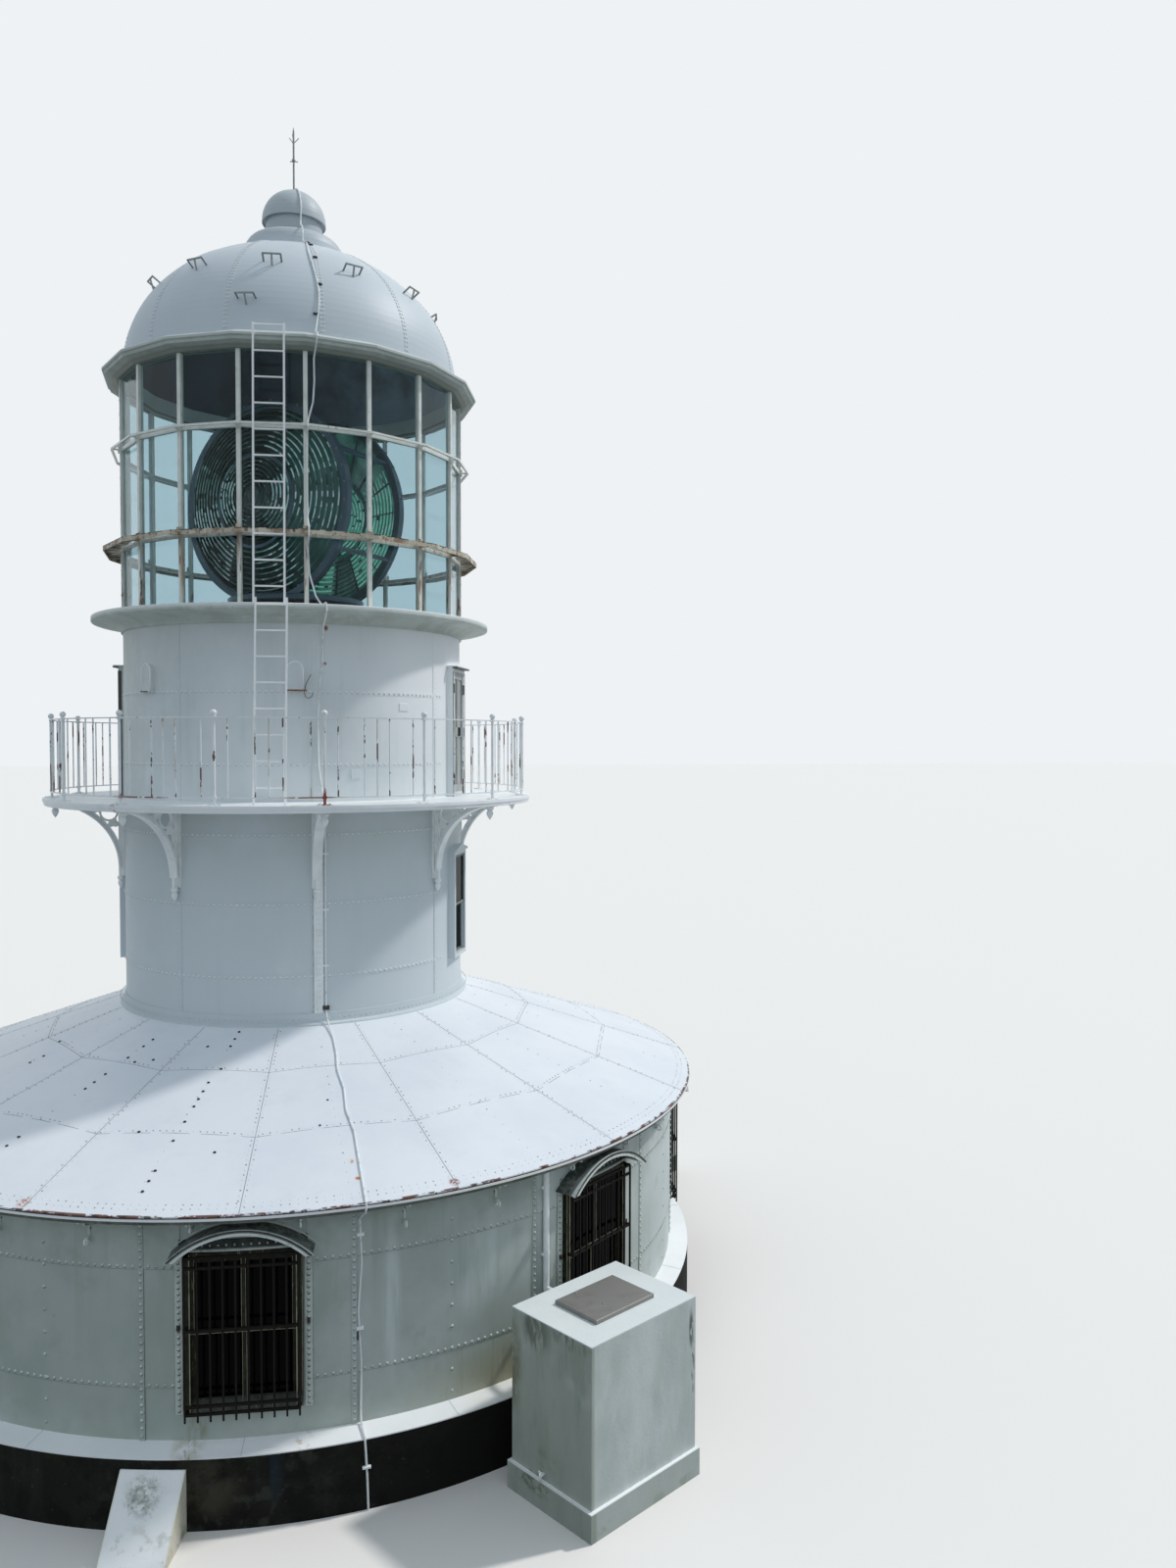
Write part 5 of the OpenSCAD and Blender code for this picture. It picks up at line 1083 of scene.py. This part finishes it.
def roof_rivets(maker):
    """Small rivets beside every joint, and the bare black ones that have lost their paint."""
    def small(seat, dusty, size=0.018):
        rivet(maker, *seat, size, 2 if chance.random() < dusty else 0, 6)

    for a in bays(bay_a, sheet_step):
        for side in (-1, 1):
            for r in spaced(curb_r + 0.08, roof_r - 0.05, 0.075):
                small(roof_point(r, a + side * degrees(0.032 / r)), 0.35)
        for corner in lap_corners:
            count = round(corner * radians(sheet_step) / 0.075)
            for k in range(1, count):
                small(lap_point(corner, a + sheet_step * k / count, 0.035), 0.6)
        for k in range(19):
            small(roof_point(2.535 + 0.15 * k, a + sheet_step / 2), 0.3)
        count = round(sum(eave_rows_r) / 2 * radians(sheet_step) / 0.085)
        for k in range(count):
            for r in eave_rows_r:
                small(roof_point(r, a + sheet_step * (k + 0.5) / count), 0.4, 0.016)
    for a, reaches in bare_places:
        for r in reaches:
            rivet(maker, *roof_point(r, a), 0.036 if a < -10 else 0.028, 1, 7)


def roof_edge(maker):
    """A thin white bar along the edge of the eave, below the rusty edge of the sheets."""
    for paint, (inset, rise, wide) in enumerate(((0.004, 0.014, 0.024), (0.010, 0.032, 0.010))):
        rows = [(around(roof_r - inset, 1.5 * k, roof_edge_z + rise), around(1, 1.5 * k)) for k in range(240)]
        strip(maker, rows, wide, 0.012, paint, True)


# The tower and the watch room

def tower_plates(maker):
    """Upright cover strips of the tower and the watch room, and the lap joint of each ring of plates."""
    z0, z1 = curb_top, tower_top - 0.06
    for a in strip_a:
        front = a == front_strip_a
        half = degrees((0.055 if front else 0.035) / tower_r)
        wall_plate(maker, tower_r, a - half, a + half, z0, z1, 0.020 if front else 0.008, int(front))
        if front:
            wall_plate(maker, tower_r, a - half - 0.35, a - half - 0.02, z0, z1, 0.010, 2)
        wall_plate(maker, watch_r, a - half, a + half, deck_top, cornice_z, 0.008)
    for radius, rows in wall_rings:
        for z in rows:
            for a0, a1 in ((side_a[1] + 12, side_a[0] - 12), (side_a[0] + 12, side_a[1] + 348)):
                wall_plate(maker, radius, a0, a1, z - 0.006, z + 0.05, 0.004)
    for a, z, w, h in ((35.6, 8.14, 0.14, 0.10), (18.0, 7.29, 0.12, 0.12)):
        fitting(maker, a, 0, watch_r, z, (w, h, 0.008), 0, 0.003)


def tower_rivets(maker):
    """Rivets of the rows and the cover strips of the tower and the watch room, and of the curb."""
    for radius, rows in wall_rings:
        for z in rows:
            for a in ring_of(radius, 0.075):
                if nearest(a, side_a) > 13:
                    stud(maker, radius + 0.004, a, z + 0.022, 0.028, 3, 6, 2)
    for a in strip_a:
        thick = 0.020 if a == front_strip_a else 0.008
        for radius, lift, z0, z1 in ((tower_r, thick, curb_top + 0.06, tower_top - 0.1),
                                     (watch_r, 0.008, deck_top + 0.06, cornice_z - 0.05)):
            for z in spaced(z0, z1, 0.07):
                for side in (-1, 1):
                    stud(maker, radius + lift, a + side * degrees(0.018 / radius), z, 0.015)
    for a in ring_of(curb_r, 0.07):
        stud(maker, curb_r, a, curb_top - 0.05, 0.022, 0, 6, 2)


def vent_rims(maker):
    """The bead round each vent's arch, and the rusty drip ledge and hanging wire of the front vent."""
    foot, spring, half = 8.335, 8.575, 0.1
    arch = [(-half * cos(radians(t)), spring + half * sin(radians(t))) for t in range(0, 181, 20)]
    wire = ((0.19, 8.52), (0.13, 8.40), (0.11, 8.31), (0.12, 8.25),
            (0.16, 8.225), (0.20, 8.25), (0.215, 8.30))
    for a in vent_a:
        tube(maker, [place(a, x, watch_r + 0.050, z) for x, z in ((-half, foot), *arch, (half, foot))], 0.008)
        if a == front_vent_a:
            fitting(maker, a, 0.02, watch_r + 0.0745, foot - 0.013, (0.24, 0.02, 0.006), 1, 0.002)
            tube(maker, [place(a, x, watch_r + 0.03, z) for x, z in wire], 0.004, 2)
        else:
            fitting(maker, a, 0, watch_r + 0.0745, foot - 0.013, (0.16, 0.016, 0.004), 2, 0.001)


def door_fittings(maker):
    """Drip plates over the gallery doors, black hinges, and the dark edges of the door frames, which are
    painted shadow.
    """
    front = watch_r + 0.062
    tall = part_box("gallery_doors")[1].z - deck_top
    middle = deck_top + tall / 2
    for a in side_a:
        fitting(maker, a, 0, front + 0.0005, deck_top + tall + 0.052, (0.70, 0.022, 0.066), 0, 0.004)
        if a == side_a[1]:
            # Painted shadow: a black plate on the shaded side of the left door's frame.
            slab(maker, facing(place(a, 0.3202, front - 0.024, middle), sideways(a)), (0.04, tall, 0.004))
        for side in (-1, 1):
            # Painted shadow: a thin black strip along the outer edge of each frame.
            fitting(maker, a, side * 0.318, front - 0.002, middle, (0.012, tall, 0.007))
            for share in (0.14, 0.5, 0.86):
                z = deck_top + 0.06 + (tall - 0.06) * share
                fitting(maker, a, side * 0.262, front - 0.016, z, (0.05, 0.13, 0.022), 0, 0.004)
        fitting(maker, a, 0.03, front - 0.016, deck_top + tall * 0.52, (0.03, 0.12, 0.03), 0, 0.008)


def gallery_bolts(maker):
    """The flanges at the feet of the railing's posts, and their bolts."""
    for a in bays(post_a, post_step):
        turn = Matrix.Translation(around(rail_r, a, deck_top)) @ Matrix.Rotation(radians(a), 4, "Z")
        slab(maker, turn, (0.16, 0.09, 0.012), 0, 0.004)
        for x in (-0.058, 0.058):
            rivet(maker, turn @ Vector((x, 0, 0.012)), up(1), 0.026, 0, 6)


# The lantern and the dome

def lantern_bolts(maker):
    """Bolts through the glazing bars, and knuckles where the bars cross the walkway and the handrail."""
    stretches = ((floor_top + 0.2, walk_z[0] - 0.08), (walk_z[1] + 0.1, hand_z - 0.1),
                 (hand_z + 0.1, eave_z - 0.08))
    for a in bays(lantern_a, lantern_step):
        for z0, z1 in stretches:
            for k in range(5):
                stud(maker, glazing_bar_r, a, z0 + (z1 - z0) * k / 4, 0.020)
        for z, paint in ((walk_z[1] + 0.03, 1), (hand_z, 0)):
            fitting(maker, a, 0, glazing_bar_r - 0.004, z, (0.075, 0.09, 0.03), paint, 0.01)


dome_seams = bays(8.5, 30)


def dome_point(angle, rise, lift=0.0):
    """A point on the dome at an angle, and at a share of the curve from its foot, and the way it faces."""
    t = radians(rise)
    normal = around(dome_b * cos(t), angle, dome_a * sin(t)).normalized()
    return around(dome_a * cos(t), angle, dome_z + dome_b * sin(t)) + normal * lift, normal


def dome_strips(maker):
    """Cover strips over the seams between the dome's sheets."""
    for a in dome_seams:
        strip(maker, [dome_point(a, t) for t in range(1, 71, 3)], 0.060, 0.0015)


def dome_rivets(maker):
    """Two rows of small rivets on each of the dome's cover strips."""
    for a in dome_seams:
        t = 1.5
        while t < 70:
            away = degrees(0.018 / (dome_a * cos(radians(t))))
            for side in (-1, 1):
                rivet(maker, *dome_point(a + side * away, t, 0.0015), 0.022, 2, 6, 1)
            t += degrees(0.055 / hypot(dome_a * sin(radians(t)), dome_b * cos(radians(t))))


# Small fittings

def tank_lids(maker):
    """Folded stainless covers over the lids of the tanks, with two lifting studs each."""
    for a in tank_a:
        turn = Matrix.Rotation(radians(a), 4, "Z")
        turn.translation = place(a, *tank_mid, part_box("water_tanks")[1].z - 0.039)
        slab(maker, turn, (0.838, 0.608, 0.045), 0, 0.005)
        for x, y in ((-0.12, -0.1), (-0.16, 0.27)):
            rivet(maker, turn @ Vector((x, y, 0.045)), up(1), 0.03)


def tank_taps(maker):
    """White paint on the brass taps, and their cross handles."""
    u, v, z = tank_left - 0.052, 6.316, 0.40
    for a in tank_a:
        tube(maker, [place(a, x, v, 0.365) for x in (u - 0.003, tank_left + 0.001)], 0.0165, 0, 10)
        tube(maker, [place(a, u, v, 0.318), place(a, u, v, z)], 0.0145, 0, 10)
        for turned in (-0.03, 0.03):
            tube(maker, [place(a, u, v, z), place(a, u, v + turned, z + 0.005)], 0.006)


def cable_clips(maker):
    """Black and white clips that hold the earthing cable to the dome, the tower, the wall and the base."""
    for rise, angle in ((60, 8.6), (54, 9.0), (39, 8.4), (22, 8.4), (8, 6.4)):
        slab(maker, facing(*dome_point(angle, rise)), (0.055, 0.024, 0.026), 0, 0.006)
    clips = [(tower_r, 8.1, curb_top + 0.06, (0.085, 0.05, 0.032), 0, 0.006)]
    clips += [(tower_r, 8.1, z, (0.075, 0.022, 0.027), 1, 0.004) for z in (4.9, 5.6, 6.3)]
    clips += [(house_r, a, z, (0.075, 0.035, 0.030), 1, 0.005) for a, z in ((6.25, 1.735), (6.35, 2.7))]
    clips += [(house_r, 6.0, 1.66, (0.02, 0.09, 0.02), 0, 0.004),
              (base_r, 6.45, 0.44, (0.085, 0.026, 0.030), 1, 0.005)]
    for radius, a, *rest in clips:
        fitting(maker, a, 0, radius, *rest)


def eave_bolts(maker):
    """Bolt ends on the eave brackets, and the scroll of each bracket's arm."""
    arm_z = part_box("eave_ring")[0].z
    for a in bays(0, 11.25):
        rivet(maker, around(house_r + 0.20, a, arm_z - 0.024), up(-1), 0.034, 2, 6)
        tube(maker, [around(house_r + r, a, arm_z - 0.02) for r in (0.13, 0.15, 0.17, 0.19, 0.22)], 0.011, 2)
        drop = 0.13 if nearest(a, bay_angles) < 8 else 0.27
        curl = []
        for n in range(14):
            t, reach = radians(200 - 34 * n), 0.046 - 0.0024 * n
            curl.append(around(house_r + 0.07 + reach * cos(t), a, arm_z - drop + 0.005 + reach * sin(t)))
        tube(maker, curl, 0.011, 2)
        for s in (-1, 1):
            point = place(a, 0.012 * s, house_r + 0.012, arm_z - drop * 0.55)
            rivet(maker, point, sideways(a) * s, 0.02, 1, 6)


# The lens

def lens_bolts(maker):
    """Clamp bolts round the edges of both lens rims."""
    for a in valve_a:
        centre = around(lens_off, a, lens_z)
        for k in range(36):
            t = radians(10 * k + 5)
            away = sideways(a) * cos(t) + up(sin(t))
            rivet(maker, centre + away * (rim_r - 0.001), away, 0.03, 0, 6)
            rivet(maker, centre + around(0.06, a) + away * (rim_r - 0.045), around(1, a), 0.026, 1, 6)


def valve_front(radius):
    """How far the front of the lens glass stands from the lens's middle at a radius."""
    return lens_off + 0.04 + 0.27 * (1 - (radius / outer_rings[1]) ** 2)


def valve_back(radius):
    """How far the back of the lens glass stands from the lens's middle at a radius."""
    return 0.876 - 0.1 * radius if radius < 0.62 else 0.808 - 0.318 * (radius - outer_rings[0])


# How brightly the ring edges glint, up to a turn in degrees from the right hand side, by zone:
# 0 is even, 1 bright and 2 dim. On the inside 3, daylit, stands for 0 and 1.
outer_glints = ((14, 0), (74, 1), (150, 2), (182, 0), (238, 1),
                (262, 2), (284, 0), (304, 1), (334, 0), (360, 1))
inner_glints = ((28, 1), (120, 2), (146, 0), (214, 1), (250, 0), (300, 2), (330, 0), (360, 1))
hub_glints = ((360, 2),)


def ring_edges(start, end, count):
    """The radii of the edges of equal ring prisms, each a little outside its prism's middle."""
    return [start + (end - start) * (k + 0.55) / count for k in range(count)]


def lens_edge_glints(maker):
    """Painted glints and reflections, as strips on the edges of the ring prisms, in an inner and an outer
    zone, outside and inside both valves.
    """
    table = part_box("lens_table")[1].z + 0.02
    zones = [(radius, outer_glints) for radius in ring_edges(*outer_rings, 9)]
    zones += [(radius, inner_glints if radius > 0.32 else hub_glints)
              for radius in (*ring_edges(*inner_rings, 8), 0.05, 0.11)]
    for a in valve_a:
        for radius, glints in zones:
            for inner in (0, 1):
                height = valve_back(radius) - 0.004 if inner else valve_front(radius) + 0.013
                run, tone = [], None
                for k in range(91):
                    t = radians(4 * k)
                    point = place(a, radius * cos(t), height, lens_z + radius * sin(t))
                    here = next(g for last, g in glints if 4 * k % 360 < last)
                    if chance.random() < 0.16:
                        here = chance.choice((0, 2, 2))
                    here = 3 if inner and here != 2 else here
                    run.append((point, around(-1 if inner else 1, a)))
                    if k and (here != tone or k == 90 or point.z < table):
                        if len(run) > 1 and min(p.z for p, _ in run) > table:
                            strip(maker, run, (0.017, 0.020, 0.017, 0.024)[tone], 0.004, tone)
                        run = run[-1:]
                    tone = here


# Each piece: what makes it, its name, its slot, its finishes and its body
pieces = (
    (house_plates, "house_wall_plates", "white_iron", "house lap"),
    (window_surrounds, "window_surrounds", "white_iron", "surround bare algae grime head"),
    (sash_highlight_lines, "sash_worn_edges", "window_paint", "worn_edge"),
    (hood_lines, "hood_mould_and_flange", "white_iron", "grime eave surround"),
    (house_rivets, "house_wall_rivets", "white_iron", "head bare lap"),
    (ledge_seams, "ledge_seams", "white_iron", "dust"),
    (roof_joints, "roof_lap_joints", "roof_iron", "seam"),
    (roof_rivets, "roof_rivets", "roof_iron", "roof bare dull"),
    (roof_edge, "eave_edge_bar", "white_iron", "ledge bare"),
    (tower_plates, "tower_cover_strips", "white_iron", "tower casting dust"),
    (tower_rivets, "tower_rivets", "white_iron", "tower bare dust casting"),
    (vent_rims, "vent_beads", "white_iron", "ladder rust black"),
    (door_fittings, "gallery_door_fittings", "rusty_iron", "black"),
    (gallery_bolts, "gallery_bolts", "cast_iron_white", "rail"),
    (lantern_bolts, "lantern_bolts", "white_iron", "lantern walkway"),
    (dome_strips, "dome_cover_strips", "white_iron", "tower"),
    (dome_rivets, "dome_rivets", "white_iron", "tower dust casting"),
    (lens_bolts, "lens_rim_bolts", "lens_iron", "lens zinc", "lens"),
    (lens_edge_glints, "lens_ring_edges", "lens_glass", "edge glint dim_edge inner_edge", "lens"),
    (tank_lids, "tank_lid_covers", "galvanised", "stainless"),
    (tank_taps, "tank_tap_handles", "white_render", "ladder"),
    (cable_clips, "cable_clips", "cable_sheath", "black deck"),
    (eave_bolts, "eave_bracket_bolts", "white_iron", "surround bare casting"),
)
for build, name, slot, looks, *body in pieces:
    maker = Maker(name, slot, looks.split(), *body)
    build(maker)
    maker.finish()


# The stage, the light and the camera

def background_rays(tree):
    """1 for the rays that show the background itself, and 0 for the light that it throws on the building."""
    ray = add(tree, "LightPath").outputs
    seen = add(tree, "Math", {0: ray["Is Camera Ray"], 1: ray["Is Glossy Ray"]},
               operation="MAXIMUM").outputs[0]
    return add(tree, "Math", {0: seen, 1: ray["Is Transmission Ray"]}, operation="MAXIMUM").outputs[0]


def pale_floor():
    """A wide matt floor: pale to the eye, and grey in the light it throws back, so walls keep their shade."""
    finish, tree, surface = new_finish("matt_studio_floor", "#e6e8ea", 0.95)
    tones = {"Factor": background_rays(tree), 6: linear("#5f6464"), 7: linear("#f7f3ee")}
    tree.links.new(add(tree, "Mix", tones, data_type="RGBA").outputs[2], surface.inputs["Base Color"])
    mesh = bpy.data.meshes.new("floor")
    far = 400
    mesh.from_pydata([(-far, -far, 0), (far, -far, 0), (far, far, 0), (-far, far, 0)], [], [[0, 1, 2, 3]])
    mesh.materials.append(finish)
    ground = bpy.data.objects.new("floor", mesh)
    bpy.context.scene.collection.objects.link(ground)


def soft_light():
    """A pale studio dome and one large soft lamp, high on the right and a little behind."""
    world = bpy.data.worlds.new("studio")
    world.use_nodes = True
    tree = world.node_tree
    tree.nodes.clear()
    seen = background_rays(tree)
    tint = add(tree, "Mix", {"Factor": seen, 6: linear("#d6e4f0"), 7: linear("#eef2f5")},
               data_type="RGBA").outputs[2]
    way = add(tree, "TexCoord").outputs["Generated"]
    rise = add(tree, "SeparateXYZ", {0: way}).outputs["Z"]
    soft = add(tree, "MapRange", {"Value": rise, "From Max": 0.7, "To Min": 0.84, "To Max": 0.64}).outputs[0]
    power = add(tree, "Mix", {"Factor": seen, 2: soft, 3: 1.0}, data_type="FLOAT").outputs[0]
    glow = add(tree, "Background", {"Color": tint, "Strength": power})
    add(tree, "OutputWorld", {"Surface": glow.outputs[0]})
    bpy.context.scene.world = world
    lamp = bpy.data.lights.new("key", "SUN")
    lamp.energy = 1.8
    lamp.angle = radians(4)
    lamp.color = (1.0, 0.985, 0.96)
    key = bpy.data.objects.new("key", lamp)
    height, from_right = radians(48), 96.5
    key.rotation_euler = around(cos(height), from_right, sin(height)).to_track_quat("Z", "Y").to_euler()
    bpy.context.scene.collection.objects.link(key)


def photo_camera():
    """The camera stands where the photograph was taken, at the height of the gallery."""
    data = bpy.data.cameras.new("camera")
    data.sensor_width = 36
    data.lens = 27.01
    data.clip_end = 2000
    camera = bpy.data.objects.new("camera", data)
    pan, tilt, roll = -13.868, -1.958, 0.11
    turn = Matrix.Rotation(radians(pan), 4, "Z") @ Matrix.Rotation(radians(90 + tilt), 4, "X")
    turn = turn @ Matrix.Rotation(radians(roll), 4, "Z")
    camera.matrix_world = Matrix.Translation((0, -17.25, 7.673)) @ turn
    bpy.context.scene.collection.objects.link(camera)
    bpy.context.scene.camera = camera


pale_floor()
soft_light()
photo_camera()
bpy.context.scene.view_settings.view_transform = "Standard"

bpy.context.view_layer.update()
